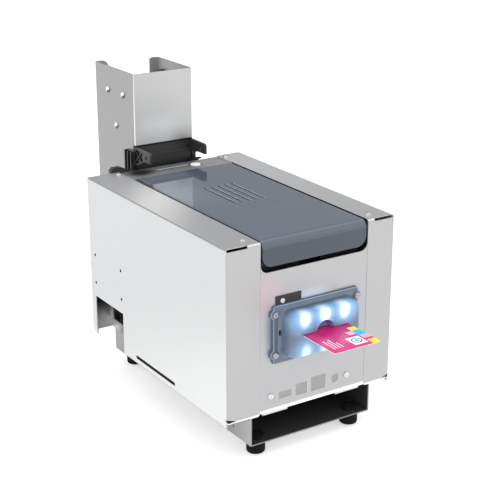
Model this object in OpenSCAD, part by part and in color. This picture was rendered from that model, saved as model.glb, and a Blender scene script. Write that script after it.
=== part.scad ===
// Card printer for a kiosk or a counter: sheet-metal housing, top hood, card tower behind.
// X runs along the front, Y to the rear, Z up. Sizes are millimetres.
// All modules are written from the housing's left front bottom corner; placed() moves them
// so that the origin lies under the middle of the whole object, on its standing plane.

/* [Housing] */
// Width over the two side panels
housing_w = 196; // [188:1:215]
// Depth from front face to rear face
housing_d = 282; // [276:1:300]
// Height of the side panels
housing_h = 180; // [176:1:200]
// Thickness of the bent sheet metal
sheet_t = 1.2; // [1:0.1:1.4]
// Outer radius of the sheet metal bends
bend_r = 1.8; // [1.6:0.1:2.4]
// Distance from the housing's middle to the middle of the card path
path_shift = 3.3; // [0:0.1:4]
// Width between the two front flanges
bay_w = 126; // [122:1:130]
// Width of the inward flanges at the back
rear_flange_w = 14; // [10:1:18]
// Height of the front flanges' bottom edge
flange_lift = 2.4; // [2:0.2:4]
// Length of the slit at the flanges' top corner
corner_slit = 24; // [12:1:25]
// Width of the slit at the flanges' top corner
corner_slit_w = 2.8; // [1.5:0.1:3.2]
// Depth of the panels' inward bottom lips
lip_depth = 9; // [6:1:12]
// Length of the slot low in each side
side_slot_len = 83; // [60:1:90]
// Height of the slot low in each side
side_slot_h = 3.6; // [2:0.2:4]

/* [Side mounting holes] */
// Spacing of the side holes along the depth
side_hole_dy = 60; // [40:1:64]
// Spacing of the side holes up the side
side_hole_dz = 32.4; // [25:0.1:40]
// Radius of the side holes
side_hole_r = 1.7; // [1.5:0.1:2.2]
// Height of the lower side holes
side_hole_z = 62.2; // [58:0.2:70]
// Distance from the rear face to the rear side holes
side_hole_back = 11.8; // [11:0.2:14]

/* [Cable recess] */
// Length of the recess along the side
recess_len = 64; // [56:1:70]
// Height of the recess
recess_h = 46; // [44:1:52]
// Depth of the recess into the housing
recess_depth = 21; // [16:1:24]
// Distance from the rear face to the recess
recess_back = 10; // [8:0.5:12]

/* [Front panel] */
// Height of the front panel's top edge
front_top = 149; // [144:1:152]
// Radius of the corners under the hood
front_corner_r = 8; // [5:0.5:10]
// Gap between the front panel and each flange
seam = 0.3; // [0.2:0.05:0.5]
// Height of the middle of the ports
port_z = 20; // [18:0.5:24]

/* [Hood] */
// Distance from the housing's rear face to the hood's rear edge
hood_back = 34.4; // [33.6:0.2:42]
// Gap between the hood and each side flange
hood_gap = 2.3; // [1.2:0.1:2.5]
// Gap between the hood and the front panel
finger_gap = 5.3; // [4.5:0.1:7]
// Wall of the hood
hood_wall = 2.4; // [2:0.1:3]
// Outer radius of the hood's front bend
hood_bend_r = 7.7; // [6:0.1:10]
// Radius of the hood's front bottom corners
hood_corner_r = 10.5; // [8:0.5:12]
// Distance from the hood's rear edge to its hinge axis
hinge_in = 22; // [20:1:26]
// Depth of the hinge axis below the deck
hinge_drop = 8.5; // [8:0.1:10]
// Number of vent slots
vent_count = 5; // [3:1:6]
// Spacing of the vent slots
vent_pitch = 8.45; // [6:0.05:9]
// Length of a vent slot
vent_len = 63; // [40:1:80]
// Width of a vent slot
vent_w = 2.6; // [1.5:0.1:3.5]

/* [Card] */
// Width of a card
card_w = 53.98; // [53.5:0.01:54.2]
// Length of a card
card_l = 85.6; // [85:0.1:86]
// Thickness of a card
card_t = 0.76; // [0.7:0.01:0.84]
// Radius of a card's corners
card_corner_r = 3.18; // [2.5:0.01:3.5]
// Height of the card path
card_z = 85.7; // [84:0.1:90]
// Length of card standing out of the mouth
card_out = 49.8; // [40:0.2:55]
// Number of blank cards in the tower
stack_count = 90; // [20:1:100]
// Clearance above and below a card in its guides
card_gap = 0.25; // [0.2:0.01:0.3]

/* [Bezel] */
// Width of the bezel's flange
bezel_w = 100.2; // [97:0.2:104]
// Height of the bezel's flange
bezel_h = 59.5; // [58:0.5:64]
// Distance from the front panel to the bezel's face
bezel_depth = 19.7; // [17:0.1:22]
// Thickness of the bezel's flange
bezel_flange_t = 2; // [1.5:0.1:2.4]
// Thickness of the gasket behind the bezel
gasket_t = 1.2; // [0.8:0.1:1.6]
// Width of the bezel's dome
dome_w = 83; // [80:0.5:86]
// Height of the bezel's dome
dome_h = 46; // [44:0.5:47]
// Wall of the dome
dome_wall = 2; // [1.6:0.1:2.4]
// Radius of the dome's corners
dome_corner_r = 8; // [6:0.5:10]
// Radius of the round ears
ear_r = 5; // [4.6:0.1:5.6]
// Spacing of the bezel screws across
ear_dx = 96.6; // [94:0.2:99]
// Spacing of the bezel screws up
ear_dz = 41.4; // [38:0.2:44]
// Radius of the thumb cut above and below the mouth
thumb_r = 11; // [8:0.5:12]
// Spacing of the light diodes across
led_dx = 22.7; // [18:0.1:24]
// Height of each row of diodes from the card
led_dz = 17; // [15:0.5:17.5]
// Radius of a diode
led_r = 2.5; // [2:0.1:3]

/* [Base] */
// Width of the base tray
tray_w = 144.6; // [140:0.2:148]
// Depth of the base tray below the side panels
tray_drop = 29; // [24:0.5:34]
// Setback of the tray behind the front face
tray_setback = 1.8; // [1.4:0.1:2.4]
// Length of tray behind the rear face
tray_tail = 3.5; // [2:0.5:6]
// Height of a foot
foot_h = 14.7; // [10:0.1:18]
// Radius of a foot
foot_r = 9.5; // [7:0.5:11]
// Radius of the round pad over a foot, inside the tray
pad_r = 7.8; // [6:0.1:8.4]
// Height of that pad
pad_h = 3.4; // [2:0.1:4.4]
// Spacing of the feet across
foot_dx = 114.8; // [100:0.2:118]
// Distance from the front face to the front feet
foot_front = 16; // [14:0.5:24]
// Distance from the rear face to the rear feet
foot_back = 15; // [12:0.5:24]

/* [Tower] */
// Width over the tower's walls
tower_w = 73.7; // [72:0.1:78]
// Distance from the housing's rear face to the tower
tower_gap = 9; // [8:0.5:12]
// Length of the tower's left wall
tower_l = 91; // [91:0.5:96]
// Length of the tower's right wall
tower_right_l = 73; // [68:1:76]
// Height of the tower's top above the side panels
tower_rise = 103.7; // [90:0.1:120]
// Height of the front wall's bottom edge above the side panels
tower_front_rise = 22; // [20:0.5:26]
// Width of the left rear flange
tower_flange = 16; // [8:0.5:20]
// Distance from the tower's top to the card guides' top
guide_drop = 33.7; // [32:0.1:54]
// Thickness of the card weight
weight_t = 14; // [10:0.5:18]
// Radius of a rivet head
rivet_r = 3.9; // [2:0.1:4.4]
// Height of a rivet head
rivet_h = 2.4; // [1.2:0.1:3]

/* [Feeder] */
// Height of the feeder's underside
feeder_z = 54; // [50:0.5:56]
// Wall of the feeder
feeder_wall = 2.3; // [2:0.1:2.4]
// Thickness of the feeder's cheeks
cheek_t = 5; // [4:0.2:6]
// Length of the left arm
arm_l = 36; // [28:0.5:38]
// Length of the right arm
arm_right_l = 31; // [26:0.5:38]
// Height of the two arms
arm_h = 11.5; // [10:0.2:12.5]
// Height of the left arm at its root
arm_root = 19; // [15:0.5:19.5]
// Height of the right arm at its root
arm_right_root = 14; // [13:0.5:19.5]
// Distance from an arm's tip to its pivot hole
arm_hole_in = 9; // [6:0.5:12]
// Radius of the feed roller
feed_r = 9; // [8:0.2:9.5]
// Distance from the tower's front to the feed roller
feed_y = 22; // [18:0.5:26]

/* [Mechanism] */
// Half width between the two mechanism plates
plate_half = 34; // [33:0.2:36]
// Thickness of the mechanism plates
plate_t = 1.5; // [1.2:0.1:2]
// Radius of the transport rollers
roller_r = 6; // [5:0.1:6.5]
// Radius of the roller shafts
shaft_r = 3; // [2.5:0.1:3.2]
// Radial clearance of a running shaft
run_gap = 0.05; // [0.03:0.01:0.08]
// Radius of the pinch rollers
pinch_r = 4; // [3.5:0.1:4.5]
// Gap between a roller and the card
roll_gap = 0.2; // [0.15:0.01:0.3]
// Distance from the front face to the exit roller
exit_y = 10; // [9.5:0.1:12]
// Distance from the front face to the platen roller
platen_y = 150; // [140:1:154]
// Distance from the rear face to the infeed roller
infeed_back = 20; // [16:0.5:24]
// Distance from the front face to the take-up spool
takeup_y = 90; // [80:1:94]
// Distance from the front face to the supply spool
supply_y = 195; // [190:1:204]
// Height of the two spools
spool_z = 125; // [120:0.5:130]
// Radius of the ribbon on the supply spool
supply_r = 16; // [12:0.5:18]
// Radius of the ribbon on the take-up spool
takeup_r = 12; // [10:0.5:14]
// Radius of the spool ends
spool_end_r = 5; // [4:0.1:5.5]
// Tooth size of the gears
gear_m = 1; // [0.9:0.05:1]
// Teeth on the platen gear
platen_teeth = 40; // [36:1:42]
// Teeth on the motor pinion
pinion_teeth = 12; // [12:1:14]
// Radius of the belt pulleys
pulley_r = 7; // [6.5:0.1:7.5]
// Width of the drive belt
belt_w = 6; // [5:0.5:8]

/* [Screw heads] */
// Radius of the screw heads on the top flanges
deck_head_r = 2.8; // [2:0.1:3.2]
// Radius of the screw heads on the bezel
bezel_head_r = 3; // [2.4:0.1:3.4]
// Radius of the screw heads low on the front
front_head_r = 3.2; // [2.2:0.1:3.6]

/* [Button and fan] */
// Radius of the button's cap
button_r = 5.6; // [4.5:0.1:6.5]
// Distance from the card path's middle to the button
button_dx = 26.4; // [24:0.2:34]
// Distance from the rear face to the button
button_back = 15; // [14.5:0.1:16]
// Travel of the button
button_travel = 1.2; // [0.8:0.1:1.5]
// Width of the fan's frame
fan_w = 40; // [36:1:44]
// Thickness of the fan
fan_t = 10; // [8:0.5:12]

/* [Hidden] */
$fn = 48;

steel = [0.86, 0.87, 0.88];
dark_steel = [0.62, 0.63, 0.64];
black = [0.13, 0.13, 0.13];
rubber_black = [0.08, 0.08, 0.08];
hood_blue = [0.40, 0.43, 0.47];
bezel_blue = [0.50, 0.60, 0.75];
screw_silver = [0.90, 0.90, 0.90];
board_green = [0.10, 0.32, 0.20];
nylon_white = [0.95, 0.95, 0.95];

// Places that several pieces share
path_x = housing_w / 2 + path_shift;
left_flange_w = path_x - bay_w / 2;
right_flange_w = housing_w - path_x - bay_w / 2;
inner_rear = housing_d - sheet_t;
deck_top = housing_h - sheet_t;
hood_len = housing_d - hood_back;
tower_top = housing_h + tower_rise;
tower_front_z = housing_h + tower_front_rise;
guide_top = tower_top - guide_drop;
lip_z = flange_lift + 0.6;
floor_z = lip_z + sheet_t;
floor_top = floor_z + sheet_t;
card_top = card_z + card_t / 2;
card_bot = card_z - card_t / 2;
card_half = card_w / 2;
mouth_y = -bezel_depth;
card_front = mouth_y - card_out;
slot_half = card_half + 0.6;
rail_top = card_bot - card_gap;
hinge_y = hood_len - hinge_in;
hinge_z = housing_h - hinge_drop;
hood_half = bay_w / 2 - hood_gap;
hood_low = front_top + finger_gap;
hinge_pin_r = 2;
roller_z = card_bot - roll_gap - roller_r;
pinch_z = card_top + roll_gap + pinch_r;
pinch_shaft_r = 1.5;
infeed_y = housing_d - infeed_back;
bush_r = shaft_r + 2;
plate_out = plate_half + plate_t;
gear_backlash = 0.2;
motor_z = roller_z - gear_m * (platen_teeth + pinion_teeth) / 2 - gear_backlash;
tower_y = housing_d + tower_gap;
tower_rear = tower_y + tower_l;
feeder_rear = tower_rear + 2;
tower_half = tower_w / 2;
tower_in = tower_half - sheet_t;
feeder_front = tower_y + sheet_t - 0.3;
stack_y = feeder_front + feeder_wall + 0.3;
stack_top = card_bot + stack_count * card_t;
guide_y0 = tower_y + 18;
guide_y1 = tower_y + tower_right_l - 0.3;
foot_floor = -tray_drop - foot_h;
tray_floor = -tray_drop + sheet_t;
tray_x0 = path_x - tray_w / 2;
tray_x1 = path_x + tray_w / 2;
tray_rear = housing_d + tray_tail;
ear_z0 = card_z - ear_dz / 2 - 0.4;
ear_z1 = card_z + ear_dz / 2 - 0.4;
flange_y = -gasket_t - bezel_flange_t;
feed_axis_y = tower_y + feed_y;
feed_axis_z = card_bot - roll_gap - feed_r;
button_x = path_x + button_dx;
button_y = housing_d - button_back;
button_hole_r = button_r + 1.2;
mid_y = (card_front + feeder_rear) / 2;
eps = 0.01;

module placed() translate([-housing_w / 2, -mid_y, -foot_floor]) children();
module slab(a, b) translate(a) cube(b - a);
module rod_x(x0, x1, y, z, r) translate([x0, y, z]) rotate([0, 90, 0]) cylinder(r = r, h = x1 - x0);
module rod_y(y0, y1, x, z, r) translate([x, y0, z]) rotate([-90, 0, 0]) cylinder(r = r, h = y1 - y0);
module rod_z(z0, z1, x, y, r) translate([x, y, z0]) cylinder(r = r, h = z1 - z0);
// A flat outline standing across X, across Y or lying flat
module across_x(x0, x1) translate([x0, 0, 0]) rotate([90, 0, 90]) linear_extrude(x1 - x0) children();
module across_y(y0, y1) translate([0, y1, 0]) rotate([90, 0, 0]) linear_extrude(y1 - y0) children();
module lying(z0, z1) translate([0, 0, z0]) linear_extrude(z1 - z0) children();
module box2(a, b) translate(a) square(b - a);
module round2(a, b, r) {
    box2(a + [r, 0], b - [r, 0]);
    box2(a + [0, r], b - [0, r]);
    for (x = [a[0] + r, b[0] - r], y = [a[1] + r, b[1] - r]) translate([x, y]) circle(r);
}
// The corner at the origin of a quarter, with the arc removed
module spandrel(r) difference() {
    translate([-eps, -eps]) square(r + eps);
    translate([r, r]) circle(r);
}
// Bent sheet: a foot along +x and a wall along +y that meet in a round bend at the origin
module bend2(foot, wall, t, r) difference() {
    square([foot, wall]);
    translate([t, t]) square([foot, wall]);
    spandrel(r);
}
// A low dome on a flat underside, as on a screw or a rivet
module dome_head(r, h) intersection() {
    translate([0, 0, h - (r * r + h * h) / (2 * h)]) sphere((r * r + h * h) / (2 * h));
    cylinder(r = r, h = h);
}

// Involute gear outline with a tooth centred on +x
function polar(r, a) = [r * cos(a), r * sin(a)];
function roll(rb, r) = sqrt(max(0, pow(r / rb, 2) - 1)) * 180 / PI;
function involute(rb, r) = roll(rb, r) - atan(roll(rb, r) * PI / 180);
function flank(rb, half, r, side) = polar(r, side * (half - involute(rb, r)));
module gear2(teeth, bore) {
    rp = gear_m * teeth / 2;
    rb = rp * cos(20);
    ro = rp + 0.9 * gear_m;
    rr = rp - 1.25 * gear_m;
    half = 90 / teeth - 1.6 / rp + involute(rb, rp);
    radii = [for (i = [0:4]) max(rb, rr) + (ro - max(rb, rr)) * i / 4];
    difference() {
        polygon([for (k = [0:teeth - 1]) let (a = 360 * k / teeth)
            for (p = concat([polar(rr, -half * 1.05)], [for (r = radii) flank(rb, half, r, -1)],
                [for (i = [4:-1:0]) flank(rb, half, radii[i], 1)], [polar(rr, half * 1.05)]))
            [p[0] * cos(a) - p[1] * sin(a), p[0] * sin(a) + p[1] * cos(a)]]);
        circle(bore);
    }
}

// ---------------------------------------------------------------- housing
relief = 11;
side_slot_z = 6.8;
holes_y = [housing_d - side_hole_back - side_hole_dy, housing_d - side_hole_back];
holes_z = [side_hole_z, side_hole_z + side_hole_dz];
recess_y0 = housing_d - recess_back - recess_len;
recess_y1 = housing_d - recess_back;
slot_y1 = recess_y0 - 27;
deck_front = hood_len + 2.4;

// One side with its front, top and rear flanges; the tray stands in_x from the outer face
module side_panel(flange_w, in_x, notched) difference() {
    union() {
        // wall and top flange in one bend along the depth
        across_y(0, housing_d) translate([0, housing_h]) mirror([0, 1])
            bend2(flange_w, housing_h, sheet_t, bend_r);
        // front flange
        lying(flange_lift, housing_h - sheet_t / 2) bend2(flange_w, sheet_t + bend_r, sheet_t, bend_r);
        // bent edge between front flange and top flange
        across_x(corner_slit, flange_w) translate([0, housing_h]) mirror([0, 1])
            bend2(4, 4, sheet_t, bend_r);
        // rear flange
        lying(8, housing_h - sheet_t / 2) translate([0, housing_d]) mirror([0, 1])
            bend2(rear_flange_w, sheet_t + bend_r, sheet_t, bend_r);
        // bottom lip under the front flange
        across_x(sheet_t + 0.4, in_x - 1) translate([0, flange_lift]) bend2(lip_depth, 4, sheet_t, bend_r);
    }
    // square corner left by the wall's profile in front of the slit and the lip
    slab([-1, -1, -1], [bend_r, 0, housing_h + 1]);
    slab([sheet_t, -1, housing_h - corner_slit_w], [corner_slit, corner_slit_w, housing_h + 1]);
    // three-cornered relief hole above the lip's end
    across_y(-1, sheet_t + 1) polygon([[sheet_t + 0.4, flange_lift + bend_r], [relief, flange_lift + bend_r],
        [sheet_t + 0.4, flange_lift + bend_r + 2.7]]);
    // round outer edges of the lip and of the top bend
    across_x(corner_slit, flange_w + 1) translate([0, housing_h]) mirror([0, 1]) spandrel(bend_r);
    across_x(0, in_x - 1) translate([0, flange_lift]) spandrel(bend_r);
    // rounded free corner of the front flange
    across_y(-1, sheet_t + 1) translate([flange_w, flange_lift]) mirror([1, 0]) spandrel(3);
    for (y = holes_y, z = holes_z) rod_x(-1, sheet_t + 1, y, z, side_hole_r);
    across_x(-1, sheet_t + 1) round2([slot_y1 - side_slot_len, side_slot_z - side_slot_h / 2],
        [slot_y1, side_slot_z + side_slot_h / 2], side_slot_h / 2 - eps);
    // clipped rear corner
    across_x(-1, sheet_t + bend_r) polygon([[housing_d + 1, 8.4], [housing_d - 0.6, 8.4],
        [housing_d - 3, 2], [recess_y1 + 1.6, -eps], [recess_y1 + 1.6, -1], [housing_d + 1, -1]]);
    if (notched) slab([-1, recess_y0, -1], [sheet_t + 1, recess_y1, recess_h]);
}
module left_side_panel() color(steel) difference() {
    side_panel(left_flange_w, tray_x0, true);
    deck_screw_holes();
}
module right_side_panel() color(steel) difference() {
    translate([housing_w, 0, 0]) mirror([1, 0, 0]) side_panel(right_flange_w, housing_w - tray_x1, false);
    deck_screw_holes();
}

front_x0 = left_flange_w + seam;
front_x1 = path_x + bay_w / 2 - seam;
window_half = dome_w / 2 - dome_wall - 1.5;
window_z0 = card_z - led_dz - 5;
window_z1 = card_z + led_dz + 4;
port_x = path_x - 41;
// Left edge, width and height of each square port, from port_x and port_z
ports = [[0, 16, 7.6, -1.8], [20, 14.4, 13, -1], [38.4, 18.5, 15.9, 0.4]];
front_screw_x = [path_x - 50.9, path_x + 40.7];
tag_screw_x = path_x - 38.4;
tag_screw_z = card_z + 32.4;
tab_x = [path_x - 58.7, path_x + 28.9];
tab_y = 1.4;
tab_h = 2.8;
port_edge = 12;
port_plate_w = 98;
port_plate_rise = 14;

module front_panel() color(steel) difference() {
    union() {
        across_y(0, sheet_t) difference() {
            box2([front_x0, lip_z + bend_r], [front_x1, front_top + front_corner_r]);
            round2([front_x0 - eps, front_top], [front_x1 + eps, front_top + 40], front_corner_r);
        }
        across_x(front_x0 + 1.6, front_x1) translate([0, lip_z]) bend2(lip_depth, 6, sheet_t, bend_r);
        // two folded tabs under the lip
        for (x = tab_x) across_x(x, x + 29) translate([tab_y, lip_z - tab_h])
            bend2(5, tab_h + sheet_t / 2, sheet_t, bend_r);
    }
    slab([path_x - window_half, -1, window_z0], [path_x + window_half, sheet_t + 1, window_z1]);
    for (x = [-1, 1] * ear_dx / 2, z = [ear_z0, ear_z1]) rod_y(-1, sheet_t + 1, path_x + x, z, 1.45);
    for (p = ports) slab([port_x + p[0], -1, port_z + p[3] - p[2] / 2],
        [port_x + p[0] + p[1], sheet_t + 1, port_z + p[3] + p[2] / 2]);
    rod_y(-1, sheet_t + 1, port_x + 68.2, port_z, 4.9);
    for (x = front_screw_x) rod_y(-1, sheet_t + 1, x, port_z + 0.6, 1.6);
    rod_y(-1, sheet_t + 1, tag_screw_x, tag_screw_z, 1.45);
}
module port_plate() color(dark_steel) difference() {
    slab([port_x - port_edge, sheet_t, floor_top + 0.3],
        [port_x - port_edge + port_plate_w, 2 * sheet_t, port_z + port_plate_rise]);
    for (x = front_screw_x) rod_y(0, 3 * sheet_t, x, port_z + 0.6, 1.6);
}
module front_screws() color(screw_silver) for (x = front_screw_x) {
    translate([x, 0, port_z + 0.6]) rotate([90, 0, 0]) dome_head(front_head_r, 2);
    rod_y(0, 7, x, port_z + 0.6, 1.5);
}

fan_x = housing_w - rear_flange_w - fan_w / 2 - 3;
fan_z = 120;
rear_z0 = floor_top;
module rear_panel() color(steel) difference() {
    slab([sheet_t, inner_rear - sheet_t, rear_z0],
        [housing_w - sheet_t, inner_rear, deck_top - sheet_t]);
    slab([path_x - slot_half - 3, 0, card_z - 6], [path_x + slot_half + 3, housing_d, card_z + 6]);
    slab([0, 0, 0], [sheet_t + recess_depth + sheet_t, housing_d, recess_h + sheet_t]);
    for (i = [-4:4]) slab([fan_x + i * 4 - 1, 0, fan_z - 15], [fan_x + i * 4 + 1, housing_d, fan_z + 15]);
}
slit_x0 = path_x - 22.7;
slit_x1 = path_x + 18.9;
module rear_deck() color(steel) difference() {
    union() {
        slab([left_flange_w - 8, deck_front, deck_top - sheet_t],
            [path_x + bay_w / 2 + 8, housing_d - 2 * sheet_t, deck_top]);
        slab([left_flange_w + 1, deck_front, deck_top - 6], [path_x + bay_w / 2 - 1, deck_front + sheet_t, deck_top]);
        slab([left_flange_w + 1, inner_rear - sheet_t - eps, deck_top - sheet_t],
            [path_x + bay_w / 2 - 1, housing_d, deck_top]);
    }
    rod_z(0, housing_h, button_x, button_y, button_hole_r);
    slab([slit_x0, housing_d - 13.2, 0], [slit_x1, housing_d - 11.8, housing_h]);
    deck_screw_holes();
}
// Two screws over the left flange, two over the right one
deck_screws_at = [[left_flange_w - 10.3, 14.8], [left_flange_w - 5, housing_d - 10.2],
    [path_x + bay_w / 2 + 11.2, 14.4], [path_x + bay_w / 2 + 5.4, housing_d - 10.8]];
module deck_screw_holes() for (p = deck_screws_at) rod_z(housing_h - 20, housing_h + 1, p[0], p[1], 1.5);
module deck_screws() color(screw_silver) for (p = deck_screws_at) {
    rod_z(housing_h, housing_h + 0.4, p[0], p[1], deck_head_r);
    translate([p[0], p[1], housing_h + 0.4]) dome_head(deck_head_r, 1.4);
    rod_z(housing_h - 6, housing_h + eps, p[0], p[1], 1.5);
}
module floor_plate() color(dark_steel) difference() {
    slab([sheet_t, sheet_t + 0.3, floor_z], [housing_w - sheet_t, inner_rear - sheet_t, floor_top]);
    slab([0, recess_y0 - 1 - sheet_t, 0], [2 * sheet_t + recess_depth, housing_d, floor_top + 1]);
    slab([0, 0, 0], [relief + 2, sheet_t + bend_r, floor_top + 1]);
    slab([housing_w - relief - 2, 0, 0], [housing_w, sheet_t + bend_r, floor_top + 1]);
}

// ---------------------------------------------------------------- base
feet_at = [for (x = [-1, 1] * foot_dx / 2, y = [foot_front, housing_d - foot_back]) [path_x + x, y]];
module base_tray() color(dark_steel) difference() {
    union() {
        across_y(tray_setback, tray_rear) difference() {
            box2([tray_x0, -tray_drop], [tray_x1, floor_z]);
            box2([tray_x0 + sheet_t, tray_floor], [tray_x1 - sheet_t, floor_z + 1]);
        }
        slab([tray_x0, tray_rear - sheet_t, -tray_drop], [tray_x1, tray_rear, floor_z]);
    }
    for (p = feet_at) rod_z(-tray_drop - 1, tray_floor + 1, p[0], p[1], 2.2);
    rod_x(tray_x0 - 1, tray_x0 + sheet_t + 1, 34, tray_floor + 8, 1.2);
}
module feet() color(rubber_black) for (p = feet_at) translate([p[0], p[1], foot_floor]) difference() {
    rotate_extrude() difference() {
        square([foot_r, foot_h]);
        translate([foot_r, 0]) mirror([1, 0]) spandrel(2.6);
        translate([-1, foot_h - 10]) square([3.1, 11]);
    }
}
module foot_screws() color(black) for (p = feet_at) translate([p[0], p[1], 0]) {
    rod_z(tray_floor, tray_floor + pad_h, 0, 0, pad_r);
    translate([0, 0, tray_floor + pad_h - eps]) dome_head(3.8, 1.6);
    rod_z(-tray_drop - 9, tray_floor + eps, 0, 0, 2);
}

// ---------------------------------------------------------------- cable recess and interface
recess_in = sheet_t + recess_depth;
window_y0 = recess_y0 + 7;
window_y1 = recess_y1 + 3.6;
window_z = 12.3;
module cable_recess() color(dark_steel) difference() {
    union() {
        // inner wall
        slab([recess_in, recess_y0 - 1, 2], [recess_in + sheet_t, inner_rear, recess_h]);
        // roof
        slab([sheet_t, recess_y0 - 1, recess_h], [recess_in + sheet_t, inner_rear, recess_h + sheet_t]);
        // front and rear cheeks
        slab([sheet_t, recess_y0 - 1 - sheet_t, 2], [recess_in + sheet_t, recess_y0 - 1, recess_h + sheet_t]);
        slab([sheet_t, inner_rear - sheet_t, 2], [recess_in + sheet_t, inner_rear, recess_h + sheet_t]);
    }
    slab([0, window_y0, window_z], [housing_w, window_y1, recess_h - 6]);
}
board_x = recess_in + sheet_t + 12;
module power_inlet() color(black) difference() {
    slab([recess_in - 3, window_y0 + 1, window_z + 0.7], [board_x, window_y0 + 25, recess_h - 7]);
    slab([recess_in - 4, window_y0 + 4, 16], [board_x - 5, window_y0 + 22, recess_h - 11]);
}
module usb_socket() color(screw_silver) difference() {
    slab([recess_in - 2, window_y1 - 21.5, 14], [board_x, window_y1 - 7.5, 26]);
    slab([recess_in - 3, window_y1 - 20.1, 15.4], [board_x - 3, window_y1 - 8.9, 24.6]);
}
module interface_board() color(board_green) union() {
    slab([board_x, recess_y0 + 2, floor_top + 1], [board_x + 1.6, recess_y1 + 4, recess_h + 2]);
    // the four posts that carry the board from the recess wall
    for (y = [recess_y0 + 4, recess_y1 + 1], z = [9, recess_h - 3])
        rod_x(recess_in + sheet_t, board_x + eps, y, z, 2);
}

// ---------------------------------------------------------------- hood
vent_y0 = platen_y - 34.5;
vent_x0 = path_x + 1.5 - vent_pitch * (vent_count - 1) / 2;
skirt = 5;
tongue_y = hood_wall + 1;
tongue_z = front_top - 6;
tongue_t = 1.8;
module hood() color(hood_blue) difference() {
    union() {
        across_x(path_x - hood_half, path_x + hood_half) translate([0, housing_h]) mirror([0, 1])
            bend2(hood_len, housing_h - hood_low, hood_wall, hood_bend_r);
        // side ribs and hinge ears
        for (s = [-1, 1]) translate([path_x + s * (hood_half - hood_wall / 2) - hood_wall / 2, 0, 0]) {
            slab([0, hood_wall, housing_h - hood_wall - skirt], [hood_wall, hood_len - 5, housing_h - hood_wall]);
            across_x(0, hood_wall) {
                box2([hinge_y - 6, hinge_z], [hinge_y + 6, housing_h - hood_wall]);
                translate([hinge_y, hinge_z]) circle(6);
            }
        }
        // tongue that drops into the catch
        slab([path_x - 8, tongue_y, tongue_z], [path_x + 8, tongue_y + tongue_t, hood_low + 8]);
        slab([path_x - 8, hood_wall - eps, hood_low + 1], [path_x + 8, tongue_y + eps, hood_low + 8]);
    }
    for (s = [-1, 1]) {
        // big front corners, small rear corners
        across_y(-1, hood_wall + eps) translate([path_x + s * hood_half, hood_low]) mirror([(1 + s) / 2, 0])
            spandrel(hood_corner_r);
        lying(housing_h - hood_wall - 1, housing_h + 1) translate([path_x + s * hood_half, hood_len])
            mirror([(1 + s) / 2, 0]) mirror([0, 1]) spandrel(4);
    }
    rod_x(0, housing_w, hinge_y, hinge_z, hinge_pin_r + run_gap);
    for (i = [0:vent_count - 1]) lying(housing_h - hood_wall - 1, housing_h + 1)
        round2([vent_x0 + i * vent_pitch - vent_w / 2, vent_y0],
            [vent_x0 + i * vent_pitch + vent_w / 2, vent_y0 + vent_len], vent_w / 2 - eps);
}
bracket_off = bay_w / 2 + 1.6;
module hinge_brackets() color(dark_steel) for (s = [-1, 1])
    translate([path_x + s * (bracket_off + 0.75) - 0.75, 0, 0]) difference() {
        union() {
            across_x(0, 1.5) {
                box2([hinge_y - 7, hinge_z], [hinge_y + 7, deck_top]);
                translate([hinge_y, hinge_z]) circle(7);
            }
            slab([s > 0 ? 0 : -9, hinge_y - 7, deck_top - 1.5], [s > 0 ? 10.5 : 1.5, hinge_y + 7, deck_top]);
        }
        rod_x(-20, 20, hinge_y, hinge_z, hinge_pin_r);
    }
module hinge_pins() color(screw_silver) for (s = [-1, 1]) {
    x0 = path_x + s * (hood_half - hood_wall - 1);
    x1 = path_x + s * (bracket_off + 3);
    rod_x(min(x0, x1), max(x0, x1), hinge_y, hinge_z, hinge_pin_r);
}
module hood_catch() color(black) difference() {
    union() {
        slab([path_x - 14, sheet_t, tongue_z - 5], [path_x + 14, 10, front_top - 2]);
        // apron that closes the view into the finger gap
        slab([path_x - hood_half + hood_wall + 0.4, 10 - eps, tongue_z - 5],
            [path_x + hood_half - hood_wall - 0.4, 11.2, hood_low + 2]);
    }
    slab([path_x - 8.4, tongue_y - 1, tongue_z - 0.1], [path_x + 8.4, tongue_y + tongue_t + 0.4, front_top]);
}
head_tip = card_top + 1;
head_half = 24.5;
module print_head() color(dark_steel) union() {
    slab([path_x - head_half, platen_y - 9, head_tip + 3], [path_x + head_half, platen_y + 9, head_tip + 7]);
    slab([path_x - head_half, platen_y - 2, head_tip], [path_x + head_half, platen_y + 2, head_tip + 3 + eps]);
    // heat sink fins
    for (i = [0:5]) slab([path_x - head_half, platen_y - 9 + i * 3.2, head_tip + 7 - eps],
        [path_x + head_half, platen_y - 7.2 + i * 3.2, head_tip + 13]);
}
module print_head_arm() color(black) union() {
    for (s = [-1, 1]) slab([path_x + s * 18 - 2, platen_y - 6, head_tip + 13], [path_x + s * 18 + 2, platen_y + 6,
        housing_h - hood_wall - 1]);
    slab([path_x - 22, platen_y - 10, housing_h - hood_wall - 2], [path_x + 22, platen_y + 10, housing_h - hood_wall]);
    slab([path_x - 20, platen_y - 1, head_tip + 40], [path_x + 20, platen_y + 1, housing_h - hood_wall - 1]);
}

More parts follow.
